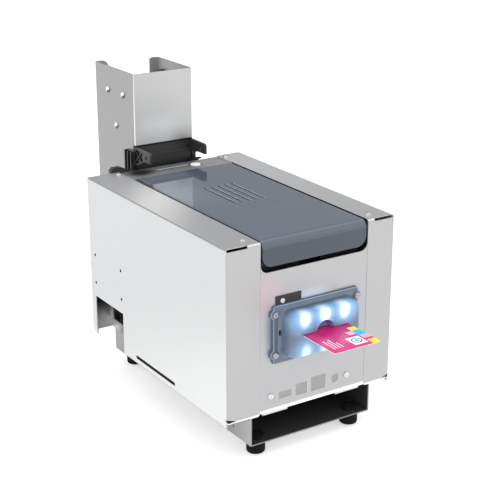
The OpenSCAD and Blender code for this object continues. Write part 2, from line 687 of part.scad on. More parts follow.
// ---------------------------------------------------------------- bezel
bezel_x0 = path_x - bezel_w / 2;
bezel_x1 = path_x + bezel_w / 2;
bezel_z0 = ear_z0 - 9.6;
bezel_z1 = bezel_z0 + bezel_h;
dome_z0 = card_z - dome_h / 2 - 0.4;
dome_z1 = dome_z0 + dome_h;
module bezel_outline(grow) {
    round2([bezel_x0 - grow, bezel_z0 - grow], [bezel_x1 + grow, bezel_z1 + grow], 2.5);
    for (x = [-1, 1] * ear_dx / 2, z = [ear_z0, ear_z1]) translate([path_x + x, z]) circle(ear_r + grow);
}
module bezel_holes(r) for (x = [-1, 1] * ear_dx / 2, z = [ear_z0, ear_z1])
    rod_y(mouth_y, sheet_t, path_x + x, z, r);
module bezel() color(bezel_blue) difference() {
    union() {
        across_y(flange_y, -gasket_t) bezel_outline(0);
        across_y(mouth_y, flange_y + eps)
            round2([path_x - dome_w / 2, dome_z0], [path_x + dome_w / 2, dome_z1], dome_corner_r);
    }
    difference() {
        across_y(mouth_y + dome_wall, 0) round2([path_x - dome_w / 2 + dome_wall, dome_z0 + dome_wall],
            [path_x + dome_w / 2 - dome_wall, dome_z1 - dome_wall], dome_corner_r - dome_wall);
        // shelves that carry the card, above and below the mouth
        for (s = [-1, 1]) slab([path_x - slot_half - 3, mouth_y, s > 0 ? card_top : rail_top - 1.6],
            [path_x + slot_half + 3, -gasket_t, s > 0 ? card_top + card_gap + 1.6 : card_bot]);
    }
    slab([path_x - slot_half, mouth_y - 1, rail_top], [path_x + slot_half, 1, card_top + card_gap]);
    // thumb cut above and below the mouth
    intersection() {
        rod_y(mouth_y - 1, mouth_y + dome_wall + 1.5, path_x, card_z, thumb_r);
        slab([path_x - thumb_r, mouth_y - 1, card_z - 8], [path_x + thumb_r, mouth_y + dome_wall + 1.5, card_z + 9]);
    }
    slab([path_x - dome_w / 2 - 2.6, flange_y - 1, card_z - 1.6], [path_x - dome_w / 2 - 0.6, 0, card_z + 4]);
    bezel_holes(1.6);
}
module bezel_gasket() color(bezel_blue) difference() {
    across_y(-gasket_t, 0) bezel_outline(0.5);
    across_y(-gasket_t - 1, 1) box2([path_x - window_half, window_z0], [path_x + window_half, window_z1]);
    bezel_holes(1.6);
}
led_y = sheet_t;
led_board_half = plate_out + 1;
module led_board() color(board_green) difference() {
    slab([path_x - led_board_half, led_y, window_z0 - 2], [path_x + led_board_half, led_y + 1.6, window_z1 + 2]);
    slab([path_x - slot_half, 0, rail_top - 2], [path_x + slot_half, 9, card_top + card_gap + 2]);
    for (x = [-1, 1] * ear_dx / 2, z = [ear_z0, ear_z1]) rod_y(0, 9, path_x + x, z, 2);
}
module leds() color(nylon_white) for (i = [-1:1], s = [-1, 1]) {
    rod_y(-4, led_y, path_x + i * led_dx, card_z + s * led_dz - 0.5, led_r);
    translate([path_x + i * led_dx, -4, card_z + s * led_dz - 0.5]) rotate([90, 0, 0]) dome_head(led_r, 2);
}
module bezel_screws() color(screw_silver) for (x = [-1, 1] * ear_dx / 2, z = [ear_z0, ear_z1]) {
    translate([path_x + x, flange_y, z]) rotate([90, 0, 0]) dome_head(bezel_head_r, 1.4);
    rod_y(flange_y, sheet_t + 3, path_x + x, z, 1.4);
}
tag_z0 = bezel_z1 + 0.6;
module tag_plate() color(black) difference() {
    slab([path_x - 46.1, -0.8, tag_z0], [path_x - 16.6, 0, tag_z0 + 8.2]);
    rod_y(-2, 1, tag_screw_x, tag_screw_z, 1.6);
}
module tag_screw() color(nylon_white) {
    translate([tag_screw_x, -0.8, tag_screw_z]) rotate([90, 0, 0]) dome_head(2.4, 1.2);
    rod_y(-0.8, 5, tag_screw_x, tag_screw_z, 1.4);
}
module printed_card() color("mediumvioletred") lying(card_bot, card_top)
    round2([path_x - card_half, card_front], [path_x + card_half, card_front + card_l], card_corner_r);

// ---------------------------------------------------------------- tower and feeder
tower_base = card_bot;
arm_top = tower_front_z;
module card_tower() color(steel) difference() {
    union() {
        slab([path_x - tower_half, tower_y, tower_base],
            [path_x - tower_half + sheet_t, tower_rear, tower_top]);
        slab([path_x - tower_half, tower_rear - sheet_t, tower_base],
            [path_x - tower_half + tower_flange, tower_rear, tower_top]);
        slab([path_x + tower_in, tower_y, tower_base],
            [path_x + tower_half, tower_y + tower_right_l, tower_top]);
        // slanting flange on the right rear edge
        lying(tower_base, tower_top) polygon([[path_x + tower_in, tower_y + tower_right_l - eps],
            [path_x + tower_half, tower_y + tower_right_l - eps],
            [path_x + tower_half - 8.5, tower_y + tower_right_l + 8.5],
            [path_x + tower_half - 9.4, tower_y + tower_right_l + 7.6]]);
        slab([path_x - tower_half, tower_y, tower_front_z], [path_x + tower_half, tower_y + sheet_t, tower_top]);
    }
    // rounded top corners of the rear flanges
    across_y(tower_rear - 2, tower_rear + 1) translate([path_x - tower_half + tower_flange, tower_top])
        mirror([1, 0]) mirror([0, 1]) spandrel(8);
    across_x(path_x + tower_half - 12, path_x + tower_half - 2)
        translate([tower_y + tower_right_l + 8.5, tower_top]) mirror([1, 0]) mirror([0, 1]) spandrel(5);
    lying(tower_base - 1, tower_top + 1) translate([path_x - tower_half, tower_y]) spandrel(bend_r - 0.6);
    lying(tower_base - 1, tower_top + 1) translate([path_x + tower_half, tower_y]) mirror([1, 0])
        spandrel(bend_r - 0.6);
    for (p = rivets_at) rod_x(path_x - tower_half - 1, path_x - tower_in + 1, p[0], p[1], 1.5);
}
// Two rivets high on the left wall and one lower between them
rivet_y0 = tower_y + 25;
rivet_dy = 36;
rivet_drop = 27.3;
rivet_dz = 37.9;
rivets_at = [[rivet_y0 + rivet_dy, tower_top - rivet_drop], [rivet_y0, tower_top - rivet_drop],
    [rivet_y0 + rivet_dy / 2, tower_top - rivet_drop - rivet_dz]];
module tower_rivets() color(screw_silver) for (p = rivets_at) {
    translate([path_x - tower_half, p[0], p[1]]) rotate([0, -90, 0]) dome_head(rivet_r, rivet_h);
    rod_x(path_x - tower_half - eps, path_x - tower_in + 3, p[0], p[1], 1.45);
}
guide_in = card_half + 0.5;
lug_y = tower_y + 63;
lug_z = guide_top + 12;
module card_guides() color(black) for (s = [-1, 1]) difference() {
    union() {
        across_x(path_x + (s > 0 ? guide_in : -tower_in), path_x + (s > 0 ? tower_in : -guide_in)) difference() {
            box2([guide_y0, tower_base], [guide_y1, guide_top]);
            translate([guide_y1, guide_top]) mirror([1, 0]) mirror([0, 1]) spandrel(6);
            translate([guide_y0, guide_top]) mirror([0, 1]) spandrel(6);
        }
        // round lug at the top by which the guide is clamped to the wall
        across_x(path_x + (s > 0 ? tower_in - 4 : -tower_in), path_x + (s > 0 ? tower_in : 4 - tower_in)) {
            translate([lug_y, lug_z]) circle(9.5);
            box2([lug_y - 9.5, guide_top - 1], [lug_y + 9.5, lug_z]);
        }
    }
    for (p = rivets_at) rod_x(path_x - tower_in - 1, path_x - tower_in + 3.1, p[0], p[1], 1.5);
}
module card_stack() color(nylon_white) lying(card_bot, stack_top)
    round2([path_x - card_half, stack_y], [path_x + card_half, stack_y + card_l], card_corner_r);
module card_weight() color(black) union() {
    lying(stack_top + 0.2, stack_top + weight_t) round2([path_x - card_half + 0.5, stack_y + 1],
        [path_x + card_half - 0.5, stack_y + card_l - 1], 3);
    rod_z(stack_top + weight_t - eps, stack_top + weight_t + 9, path_x, stack_y + card_l / 2, 8);
}

cheek_y0 = tower_y + 1.5;
cheek_y1 = tower_y + 17;
cheek_rib = 1.6;
wall_gap = 0.1;
bridge_top = deck_top - 18.8;
feed_gear_teeth = 30;
feed_pinion_teeth = 15;
feed_angle = -25;
feed_centres = gear_m * (feed_gear_teeth + feed_pinion_teeth) / 2 + gear_backlash;
feed_motor_y = feed_axis_y + feed_centres * cos(feed_angle);
feed_motor_z = feed_axis_z + feed_centres * sin(feed_angle);
feed_motor_r = 8.5;
base_half = tower_half + cheek_t;
// One arm: a ribbed plate that reaches forward, with a pivot hole near its end
module feeder_arm(x0, len, root, pocket) difference() {
    across_x(x0, x0 + 3) difference() {
        polygon([[feeder_front + 1, arm_top - root], [feeder_front + 1, arm_top],
            [feeder_front - len + 2, arm_top], [feeder_front - len, arm_top - 2],
            [feeder_front - len, arm_top - arm_h], [feeder_front - len + 14, arm_top - arm_h],
            [feeder_front - 7, arm_top - root]]);
        translate([feeder_front - len + arm_hole_in, arm_top - arm_h / 2 - 0.5]) circle(2.4);
    }
    // recess in the root with crossed ribs
    translate([x0 + (pocket ? -eps : 1.6), 0, 0]) across_x(0, 1.4 + eps) difference() {
        polygon([[feeder_front - 19, arm_top - 1.4], [feeder_front - 0.6, arm_top - 1.4],
            [feeder_front - 0.6, arm_top - root + 1.8], [feeder_front - 7.4, arm_top - root + 1.8],
            [feeder_front - 19, arm_top - arm_h + 0.3]]);
        for (a = [-1, 1]) translate([feeder_front - 9.8, arm_top - 8.8]) rotate(a * 41)
            square([32, 1], center = true);
    }
}
module feeder_housing() color(black) difference() {
    union() {
        // bed under the cards, with the throat into the printer
        slab([path_x - base_half, inner_rear, feeder_z], [path_x + base_half, feeder_rear, tower_base]);
        slab([path_x - base_half, inner_rear, tower_base - eps], [path_x + base_half, tower_y - 0.5, bridge_top]);
        // front wall of the hopper, between the tower's walls
        slab([path_x - tower_in + 0.2, feeder_front, card_top + card_gap + 0.1],
            [path_x + tower_in - 0.2, feeder_front + feeder_wall, tower_front_z]);
        slab([path_x - tower_in + 0.2, feeder_front - 1.6, tower_front_z - 12],
            [path_x + tower_in - 0.2, feeder_front + 1, tower_front_z - 10.2]);
        slab([path_x - tower_in + 0.2, tower_y - 0.6, tower_base + 2], [path_x + tower_in - 0.2, feeder_front + 1, bridge_top]);
        // cheeks beside the tower's walls, in upright steps
        for (s = [-1, 1]) translate([path_x, 0, 0]) mirror([(1 - s) / 2, 0, 0]) {
            slab([tower_half, cheek_y0, tower_base - eps], [tower_half + 2, cheek_y1, arm_top - 10]);
            slab([tower_half, cheek_y0, tower_base - eps], [tower_half + 2, cheek_y0 + 9, arm_top - 5]);
            for (y = [cheek_y0, cheek_y0 + 7.4, cheek_y1 - cheek_rib])
                slab([tower_half, y, tower_base - eps], [base_half, y + cheek_rib, arm_top - 5]);
        }
        feeder_arm(path_x - tower_in - 2, arm_l, arm_root, true);
        feeder_arm(path_x + tower_in - 1, arm_right_l, arm_right_root, false);
    }
    // the throat
    slab([path_x - slot_half, 0, rail_top], [path_x + slot_half, feeder_front + 1, card_top + card_gap + 0.1]);
    // well for the feed roller, its shaft and its motor
    slab([path_x - 24, feed_axis_y - feed_r - 2, feeder_z + 6],
        [path_x + 24, feed_axis_y + feed_r + 2, tower_base + 1]);
    rod_x(path_x - base_half - 1, path_x + base_half + 1, feed_axis_y, feed_axis_z, shaft_r + run_gap);
    rod_x(path_x - 5, path_x + base_half - 6, feed_motor_y, feed_motor_z, feed_motor_r + 0.3);
    rod_x(path_x - 5, path_x + base_half + 1, feed_motor_y, feed_motor_z, 4);
    // room for the tower's side walls
    for (s = [-1, 1]) translate([path_x + s * (tower_half + tower_in) / 2, 0, 0])
        slab([-sheet_t / 2 - wall_gap, tower_y - wall_gap, card_top], [sheet_t / 2 + wall_gap, tower_rear, tower_top]);
    // lightening pocket behind
    slab([path_x - 30, tower_rear - 38, feeder_z - 1], [path_x + 30, tower_rear - 4, tower_base - 4]);
}
hump_x = path_x - base_half - 30;
hump_z = housing_h + 5;
module feeder_bracket() color(black) union() {
    // hump beside the left arm, with a leg that is screwed to the cheek's front rib
    across_y(housing_d + 0.6, housing_d + 6.6) difference() {
        polygon([[hump_x, hump_z - 11], [hump_x, hump_z - 3], [hump_x + 3, hump_z], [hump_x + 12, hump_z],
            [hump_x + 22, hump_z - 5], [path_x - base_half + 2, hump_z - 8], [path_x - base_half + 2, bridge_top],
            [path_x - base_half - 8, bridge_top], [hump_x + 20, hump_z - 11]]);
        translate([hump_x, hump_z]) mirror([0, 1]) spandrel(2);
    }
    slab([path_x - base_half, housing_d + 6.5, bridge_top], [path_x - base_half + 3, cheek_y0, hump_z - 12]);
}
module tower_bracket() color(dark_steel) union() {
    lying(housing_h - 1, housing_h + 0.2) polygon([[path_x + 30, housing_d + 0.6], [path_x + 45, housing_d + 3],
        [path_x + 45, housing_d + 6], [path_x + tower_half + 0.5, tower_y - wall_gap], [path_x + 30, tower_y - wall_gap]]);
    slab([path_x + base_half - 3, housing_d + 4, bridge_top], [path_x + base_half, cheek_y0, housing_h - 1 + eps]);
}
module feed_roller() {
    color(rubber_black) rod_x(path_x - 20, path_x + 20, feed_axis_y, feed_axis_z, feed_r);
    color(screw_silver) rod_x(path_x - base_half + 1, path_x + base_half + 8, feed_axis_y, feed_axis_z, shaft_r);
    color(nylon_white) across_x(path_x + base_half + 1, path_x + base_half + 6)
        translate([feed_axis_y, feed_axis_z]) rotate(feed_angle) gear2(feed_gear_teeth, shaft_r - eps);
}
module feed_motor() color(dark_steel) rod_x(path_x - 4, path_x + base_half - 6.3, feed_motor_y, feed_motor_z,
    feed_motor_r);
module feed_pinion() color(nylon_white) union() {
    across_x(path_x + base_half + 0.6, path_x + base_half + 6.4) translate([feed_motor_y, feed_motor_z])
        rotate(180 + feed_angle + 180 / feed_pinion_teeth) gear2(feed_pinion_teeth, 1);
    rod_x(path_x + base_half - 6, path_x + base_half + 7, feed_motor_y, feed_motor_z, 1.5);
}

// ---------------------------------------------------------------- mechanism
plate_top = card_top + 10;
spool_wall = 14;
roller_ys = [exit_y, platen_y, infeed_y];
pinch_ys = [exit_y, infeed_y];
module mech_plates() color(dark_steel) for (s = [-1, 1])
    across_x(path_x + (s > 0 ? plate_half : -plate_out), path_x + (s > 0 ? plate_out : -plate_half)) difference() {
        union() {
            box2([sheet_t + 2.2, floor_top], [inner_rear - sheet_t - 3, plate_top]);
            for (y = [takeup_y, supply_y]) box2([y - spool_wall, plate_top - 1], [y + spool_wall, spool_z + 8]);
        }
        for (y = roller_ys) translate([y, roller_z]) circle(bush_r + 0.02);
        for (y = pinch_ys) translate([y, pinch_z]) circle(pinch_shaft_r + run_gap);
        // open seats for the spools
        for (y = [takeup_y, supply_y]) {
            translate([y, spool_z]) circle(spool_end_r + run_gap);
            box2([y - spool_end_r - run_gap, spool_z], [y + spool_end_r + run_gap, spool_z + 9]);
        }
        if (s < 0) translate([platen_y, motor_z]) circle(11);
        // lightening windows
        for (y = [40, 200]) round2([y, floor_top + 12], [y + 40, roller_z - 12], 6);
    }
rail_t = 2.4;
module card_rails() color(black) for (s = [-1, 1]) translate([path_x, 0, 0]) mirror([(1 - s) / 2, 0, 0])
    difference() {
        slab([card_half - 1.5, sheet_t + 2.6, rail_top - rail_t], [plate_half, inner_rear - sheet_t - 3.4,
            card_top + card_gap + 2]);
        slab([0, 0, rail_top], [card_half + 0.4, housing_d, card_top + card_gap]);
        // room for the print head and the ribbon
        slab([0, platen_y - 22, card_top], [card_half + 0.4, platen_y + 22, plate_top]);
        for (y = pinch_ys) slab([0, y - pinch_r - 1, card_top], [card_half - 0.6, y + pinch_r + 1, plate_top]);
    }
module bushes() color("goldenrod") for (s = [-1, 1], y = roller_ys) translate([path_x, 0, 0])
    mirror([(1 - s) / 2, 0, 0]) difference() {
        union() {
            rod_x(plate_half, plate_out, y, roller_z, bush_r);
            rod_x(plate_out, plate_out + 0.8, y, roller_z, bush_r + 1.5);
        }
        rod_x(plate_half - 1, plate_out + 2, y, roller_z, shaft_r + run_gap);
    }
pulley_x = path_x + plate_out + 2;
gear_x = path_x - plate_out - 8;
module pulley(y) {
    rod_x(pulley_x, pulley_x + belt_w + 1, y, roller_z, pulley_r);
    for (x = [pulley_x - 0.2, pulley_x + belt_w + 1]) rod_x(x, x + 1, y, roller_z, pulley_r + 1.6);
}
module roller(y, left) {
    color(rubber_black) rod_x(path_x - card_half + 3, path_x + card_half - 3, y, roller_z, roller_r);
    color(screw_silver) rod_x(left, pulley_x + belt_w + 3, y, roller_z, shaft_r);
    color(black) pulley(y);
}
module exit_roller() roller(exit_y, path_x - plate_out - 2);
module infeed_roller() roller(infeed_y, path_x - plate_out - 2);
module platen_roller() {
    roller(platen_y, gear_x - 2);
    color(nylon_white) across_x(gear_x, gear_x + 6) translate([platen_y, roller_z]) rotate(-90)
        gear2(platen_teeth, shaft_r - eps);
}
module pinch(y) {
    color(rubber_black) for (s = [-1, 1]) rod_x(path_x + s * 12 - 8, path_x + s * 12 + 8, y, pinch_z, pinch_r);
    color(screw_silver) rod_x(path_x - plate_out - 1, path_x + plate_out + 1, y, pinch_z, pinch_shaft_r);
}
module exit_pinch() pinch(exit_y);
module infeed_pinch() pinch(infeed_y);
belt_in = pulley_r + 0.3;
belt_t = 1.2;
module belt2(r) {
    box2([exit_y, roller_z - r], [infeed_y, roller_z + r]);
    for (y = [exit_y, infeed_y]) translate([y, roller_z]) circle(r);
}
module drive_belt() color(rubber_black) across_x(pulley_x + 0.9, pulley_x + belt_w + 0.9) difference() {
    belt2(belt_in + belt_t);
    belt2(belt_in);
}
motor_half = 17.5;
motor_len = 33;
module drive_motor() color(dark_steel) union() {
    difference() {
        slab([path_x - plate_half, platen_y - motor_half, motor_z - motor_half],
            [path_x - plate_half + motor_len, platen_y + motor_half, motor_z + motor_half]);
        for (y = [-1, 1], z = [-1, 1]) translate([0, platen_y + y * motor_half, motor_z + z * motor_half])
            rotate([45, 0, 0]) cube([2 * housing_w, 4, 4], center = true);
    }
    rod_x(path_x - plate_out - 0.5, path_x - plate_half + eps, platen_y, motor_z, 10.8);
}
module motor_pinion() color("goldenrod") union() {
    across_x(gear_x - 1, gear_x + 6.6) translate([platen_y, motor_z]) rotate(90 + 180 / pinion_teeth)
        gear2(pinion_teeth, 1);
    rod_x(gear_x - 2, path_x - plate_out - 0.8, platen_y, motor_z, 2);
}

spool_half = 27;
module spool(y, r) {
    color([0.2, 0.2, 0.22]) rod_x(path_x - head_half, path_x + head_half, y, spool_z, r);
    color(nylon_white) {
        for (s = [-1, 1]) rod_x(path_x + s * spool_half - 1, path_x + s * spool_half + 1, y, spool_z, supply_r + 2);
        rod_x(path_x - plate_out - 3, path_x + plate_out + 3, y, spool_z, spool_end_r);
    }
}
module supply_spool() spool(supply_y, supply_r);
module takeup_spool() spool(takeup_y, takeup_r);
// Point where a line from p touches the circle r about c
function tangent(c, r, p, side) = let (d = p - c, a = atan2(d[1], d[0]), b = acos(r / norm(d)))
    c + polar(r, a + side * b);
film_z = card_top + 0.3;
film_t = 0.25;
film_bends = [[platen_y + 12, film_z], [platen_y - 12, film_z]];
film_path = concat([tangent([supply_y, spool_z], supply_r + 0.4, film_bends[0], 1)], film_bends,
    [tangent([takeup_y, spool_z], takeup_r + 0.4, film_bends[1], -1)]);
module ribbon_film() color([0.15, 0.15, 0.17]) across_x(path_x - head_half, path_x + head_half)
    polygon(concat(film_path, [for (i = [3:-1:0]) film_path[i] - [0, -film_t]]));

mainboard_x = housing_w - sheet_t - 16;
board_y0 = 50;
board_y1 = housing_d - 57;
board_z0 = 24;
board_z1 = housing_h - 52;
// Chips, coils and headers: place as a share of the board's length and height, then length, height and depth
chips = [[0.12, 0.25, 22, 22, 3], [0.34, 0.25, 30, 16, 6], [0.6, 0.35, 16, 16, 9], [0.82, 0.25, 18, 40, 7],
    [0.14, 0.68, 40, 14, 8], [0.44, 0.68, 24, 18, 4], [0.64, 0.73, 30, 12, 10]];
module main_board() color(board_green) union() {
    slab([mainboard_x, board_y0, board_z0], [mainboard_x + 1.6, board_y1, board_z1]);
    for (y = [board_y0 + 8, board_y1 - 8], z = [board_z0 + 8, board_z1 - 8])
        rod_x(mainboard_x + 1.6 - eps, housing_w - sheet_t, y, z, 2.5);
    for (p = chips) translate([0, board_y0 + p[0] * (board_y1 - board_y0), board_z0 + p[1] * (board_z1 - board_z0)])
        slab([mainboard_x - p[4], 0, 0], [mainboard_x + eps, p[2], p[3]]);
}
fan_y0 = inner_rear - sheet_t - fan_t;
module fan_frame() color(black) difference() {
    across_y(fan_y0, inner_rear - sheet_t)
        round2([fan_x - fan_w / 2, fan_z - fan_w / 2], [fan_x + fan_w / 2, fan_z + fan_w / 2], 3);
    difference() {
        rod_y(fan_y0 - 1, inner_rear, fan_x, fan_z, fan_w / 2 - 1.5);
        rod_y(fan_y0 + fan_t - 2.5, inner_rear, fan_x, fan_z, 9);
        slab([fan_x - fan_w / 2, fan_y0 + fan_t - 2.5, fan_z - 1.5], [fan_x + fan_w / 2, inner_rear, fan_z + 1.5]);
    }
    for (x = [-1, 1], z = [-1, 1]) rod_y(0, housing_d, fan_x + x * (fan_w / 2 - 4), fan_z + z * (fan_w / 2 - 4), 1.6);
}
module fan_rotor() color(black) union() {
    rod_y(fan_y0 + 0.5, fan_y0 + fan_t - 3, fan_x, fan_z, 9);
    for (k = [0:6]) translate([fan_x, fan_y0 + fan_t / 2 - 1, fan_z]) rotate([0, k * 360 / 7, 0])
        translate([0, 0, 8]) rotate([0, 0, 35]) translate([-4.5, -0.6, 0]) cube([9, 1.2, fan_w / 2 - 10.6]);
}
guide_low = deck_top - sheet_t - 20;
guide_floor = guide_low + 10;
module power_button() color(nylon_white) union() {
    rod_z(guide_floor + 4.5, deck_top + 0.6, button_x, button_y, button_r);
    rod_z(guide_floor - 1.7, guide_floor + 4.6, button_x, button_y, 2.5);
}
module button_guide() color(black) union() {
    difference() {
        rod_z(guide_low, deck_top - sheet_t, button_x, button_y, button_r + 2.8);
        rod_z(guide_floor + 2, deck_top, button_x, button_y, button_r + 1.2);
        rod_z(guide_low + 2, guide_floor, button_x, button_y, button_r + 1.2);
        rod_z(guide_low + 2, guide_floor + 3, button_x, button_y, 2.5 + run_gap);
    }
    // switch under the stem
    slab([button_x - 4, button_y - 4, guide_low + 2 - eps], [button_x + 4, button_y + 4,
        guide_floor - 1.7 - button_travel - 0.1]);
}

placed() left_side_panel();
placed() right_side_panel();
placed() front_panel();
placed() port_plate();
placed() rear_panel();
placed() rear_deck();
placed() floor_plate();
placed() base_tray();
placed() feet();
placed() foot_screws();
placed() deck_screws();
placed() front_screws();
placed() cable_recess();
placed() power_inlet();
placed() usb_socket();
placed() interface_board();
placed() hood();
placed() hinge_pins();
placed() hinge_brackets();
placed() hood_catch();
placed() print_head();
placed() print_head_arm();
placed() bezel();
placed() bezel_gasket();
placed() led_board();
placed() leds();
placed() bezel_screws();
placed() tag_plate();
placed() tag_screw();
placed() printed_card();
placed() card_tower();
placed() tower_rivets();
placed() card_guides();
placed() card_weight();
placed() card_stack();
placed() feeder_housing();
placed() feeder_bracket();
placed() tower_bracket();
placed() feed_roller();
placed() feed_motor();
placed() feed_pinion();
placed() mech_plates();
placed() card_rails();
placed() bushes();
placed() exit_roller();
placed() platen_roller();
placed() infeed_roller();
placed() exit_pinch();
placed() infeed_pinch();
placed() drive_belt();
placed() drive_motor();
placed() motor_pinion();
placed() supply_spool();
placed() takeup_spool();
placed() ribbon_film();
placed() main_board();
placed() fan_frame();
placed() fan_rotor();
placed() power_button();
placed() button_guide();
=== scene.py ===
import bpy, bmesh, math, random
from mathutils import Matrix, Vector


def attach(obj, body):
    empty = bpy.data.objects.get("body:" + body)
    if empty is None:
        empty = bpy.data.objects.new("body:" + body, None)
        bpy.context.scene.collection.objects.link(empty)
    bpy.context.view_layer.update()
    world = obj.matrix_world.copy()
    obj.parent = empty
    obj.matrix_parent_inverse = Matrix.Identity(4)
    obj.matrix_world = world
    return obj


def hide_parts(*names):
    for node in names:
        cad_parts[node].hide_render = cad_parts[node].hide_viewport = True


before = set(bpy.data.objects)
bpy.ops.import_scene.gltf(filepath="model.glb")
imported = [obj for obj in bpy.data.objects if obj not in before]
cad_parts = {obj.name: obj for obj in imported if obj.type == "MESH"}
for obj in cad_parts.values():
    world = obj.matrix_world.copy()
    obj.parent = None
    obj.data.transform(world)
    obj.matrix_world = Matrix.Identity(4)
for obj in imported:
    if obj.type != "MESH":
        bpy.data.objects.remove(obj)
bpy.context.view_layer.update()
random.seed(7)
print("frame loaded")

# Places below are millimetres from the housing's left front bottom corner: x to the right,
# y to the rear, z up. This is where that corner is in the frame.
cornerMm = (-98.0, -157.25, 43.7)
housingWidth = 196.0
pathX = 101.3              # middle of the card path
cardZ = 85.7               # height of the card path
noiseBand = (0.3, 0.7)     # where most values of a noise lie
wideBand = (0.2, 0.8)
frontSkin = (1.4, 1.2)     # depth over which a mask of the front faces ends
edgeOn = (0.6, 0.3)        # picks what is turned away from a direction
faceOn = (0.5, 0.8)        # picks what is turned towards it
upward = (0, 0, 1)


def at(x, y, z):
    return Vector(((x + cornerMm[0]) / 1000, (y + cornerMm[1]) / 1000, (z + cornerMm[2]) / 1000))


# a colour of 0 to 255 as Blender's linear one
def tone(r, g=None, b=None):
    g, b = (r, r) if g is None else (g, b)
    return tuple(((c / 255 + 0.055) / 1.055) ** 2.4 if c > 10 else c / 255 / 12.92 for c in (r, g, b)) + (1.0,)


def addObject(name, data):
    made = bpy.data.objects.new(name, data)
    bpy.context.collection.objects.link(made)
    return made


# helpers for the nodes of a material, or of the world
def newNode(mat, kind):
    return mat.node_tree.nodes.new("ShaderNode" + kind)


# sets a node's inputs, by name or number, or links them to another node's output
def feed(mat, node, values):
    for key, value in values.items():
        if isinstance(value, bpy.types.NodeSocket):
            mat.node_tree.links.new(value, node.inputs[key])
        else:
            node.inputs[key].default_value = value


def newFinish(name, rough=0.5, metal=0.0):
    mat = bpy.data.materials.new(name)
    mat.use_nodes = True
    shader = mat.node_tree.nodes["Principled BSDF"]
    feed(mat, shader, {"Roughness": rough, "Metallic": metal})
    return mat, shader


def calc(mat, kind, a, b=0.0, c=0.0):
    node = newNode(mat, "Math")
    node.operation = kind
    feed(mat, node, {0: a, 1: b, 2: c})
    return node.outputs[0]


def remap(mat, value, low, high, outLow=0.0, outHigh=1.0, smooth=True):
    node = newNode(mat, "MapRange")
    node.interpolation_type = "SMOOTHSTEP" if smooth else "LINEAR"
    feed(mat, node, {0: value, 1: low, 2: high, 3: outLow, 4: outHigh})
    return node.outputs[0]


def paint(mat, shader, colour):
    feed(mat, shader, {"Base Color": colour})


def mixTone(mat, factor, a, b, kind="MIX"):
    node = newNode(mat, "Mix")
    node.data_type = "RGBA"
    node.blend_type = kind
    feed(mat, node, {0: factor, 6: a, 7: b})
    return node.outputs[2]


# masks run from 0 to 1: where all of them hold, where any of them does, and where one doesn't
def allOf(mat, *masks):
    mask = masks[0]
    for other in masks[1:]:
        mask = calc(mat, "MULTIPLY", mask, other)
    return mask


def anyOf(mat, *masks):
    mask = masks[0]
    for other in masks[1:]:
        mask = calc(mat, "MAXIMUM", mask, other)
    return mask


def noneOf(mat, *masks):
    return calc(mat, "SUBTRACT", 1.0, anyOf(mat, *masks))


# lays colours over a base, each where all of its masks hold
def overlay(mat, base, *layers):
    for colour, *masks in layers:
        base = mixTone(mat, allOf(mat, *masks), base, colour)
    return base


def objectPlace(mat):
    return newNode(mat, "TexCoord").outputs["Object"]


def millimetres(mat):
    node = newNode(mat, "SeparateXYZ")
    feed(mat, node, {0: objectPlace(mat)})
    return [calc(mat, "MULTIPLY_ADD", node.outputs[i], 1000.0, -cornerMm[i]) for i in range(3)]


def inside(mat, value, low, high, soft=0.05):
    up = remap(mat, value, low - soft, low + soft)
    down = remap(mat, value, high - soft, high + soft, 1.0, 0.0)
    return calc(mat, "MULTIPLY", up, down)


def boxMask(mat, place, x=None, y=None, z=None, soft=0.05):
    mask = 1.0
    for value, limits in zip(place, (x, y, z)):
        if limits:
            mask = calc(mat, "MULTIPLY", inside(mat, value, limits[0], limits[1], soft), mask)
    return mask


def distanceTo(mat, place, centre, stretch=(1, 1, 1)):
    total = 0.0
    for value, middle, factor in zip(place, centre, stretch):
        if middle is not None:
            d = calc(mat, "MULTIPLY", calc(mat, "SUBTRACT", value, middle), factor)
            total = calc(mat, "MULTIPLY_ADD", d, d, total)
    return calc(mat, "SQRT", total)


def grain(mat, scale, stretch=(1, 1, 1), detail=4.0, rough=0.55):
    shift = newNode(mat, "Mapping")
    feed(mat, shift, {"Vector": objectPlace(mat), "Scale": stretch})
    node = newNode(mat, "TexNoise")
    feed(mat, node, {"Vector": shift.outputs[0], "Scale": scale, "Detail": detail, "Roughness": rough})
    return node.outputs["Fac"]


def relief(mat, shader, height, strength=0.2, depth=0.0002, edge=0.0004):
    soft = newNode(mat, "Bevel")
    soft.samples = 4
    feed(mat, soft, {"Radius": edge})
    bump = newNode(mat, "Bump")
    feed(mat, bump, {"Strength": strength, "Distance": depth, "Height": height, "Normal": soft.outputs[0]})
    feed(mat, shader, {"Normal": bump.outputs[0]})


def normalParts(mat):
    node = newNode(mat, "SeparateXYZ")
    feed(mat, node, {0: newNode(mat, "TexCoord").outputs["Normal"]})
    return node.outputs


# how far the surface faces across, along and up the object, either way
def facing(mat):
    return [calc(mat, "POWER", calc(mat, "ABSOLUTE", part), 2.0) for part in normalParts(mat)]


# how far the surface leans towards one direction, from -1 to 1
def lean(mat, way):
    total = 0.0
    for part, share in zip(normalParts(mat), way):
        total = calc(mat, "MULTIPLY_ADD", part, share, total)
    return total


# a tone for each way a face turns: painted shade by facing
def byFacing(mat, side, front, top):
    along, up = facing(mat)[1:]
    return mixTone(mat, up, mixTone(mat, along, side, front), top)


# 1 on the bends between two directions (0 across, 1 along, 2 up), 0 on flat faces
def bendMask(mat, a, b):
    return remap(mat, calc(mat, "MULTIPLY", facing(mat)[a], facing(mat)[b]), 0.03, 0.2)


def glow(mat, shader, power, colour=(1, 1, 1, 1)):
    feed(mat, shader, {"Emission Color": colour, "Emission Strength": power})


def wear(piece, mat):
    piece.data.materials.clear()
    piece.data.materials.append(mat)


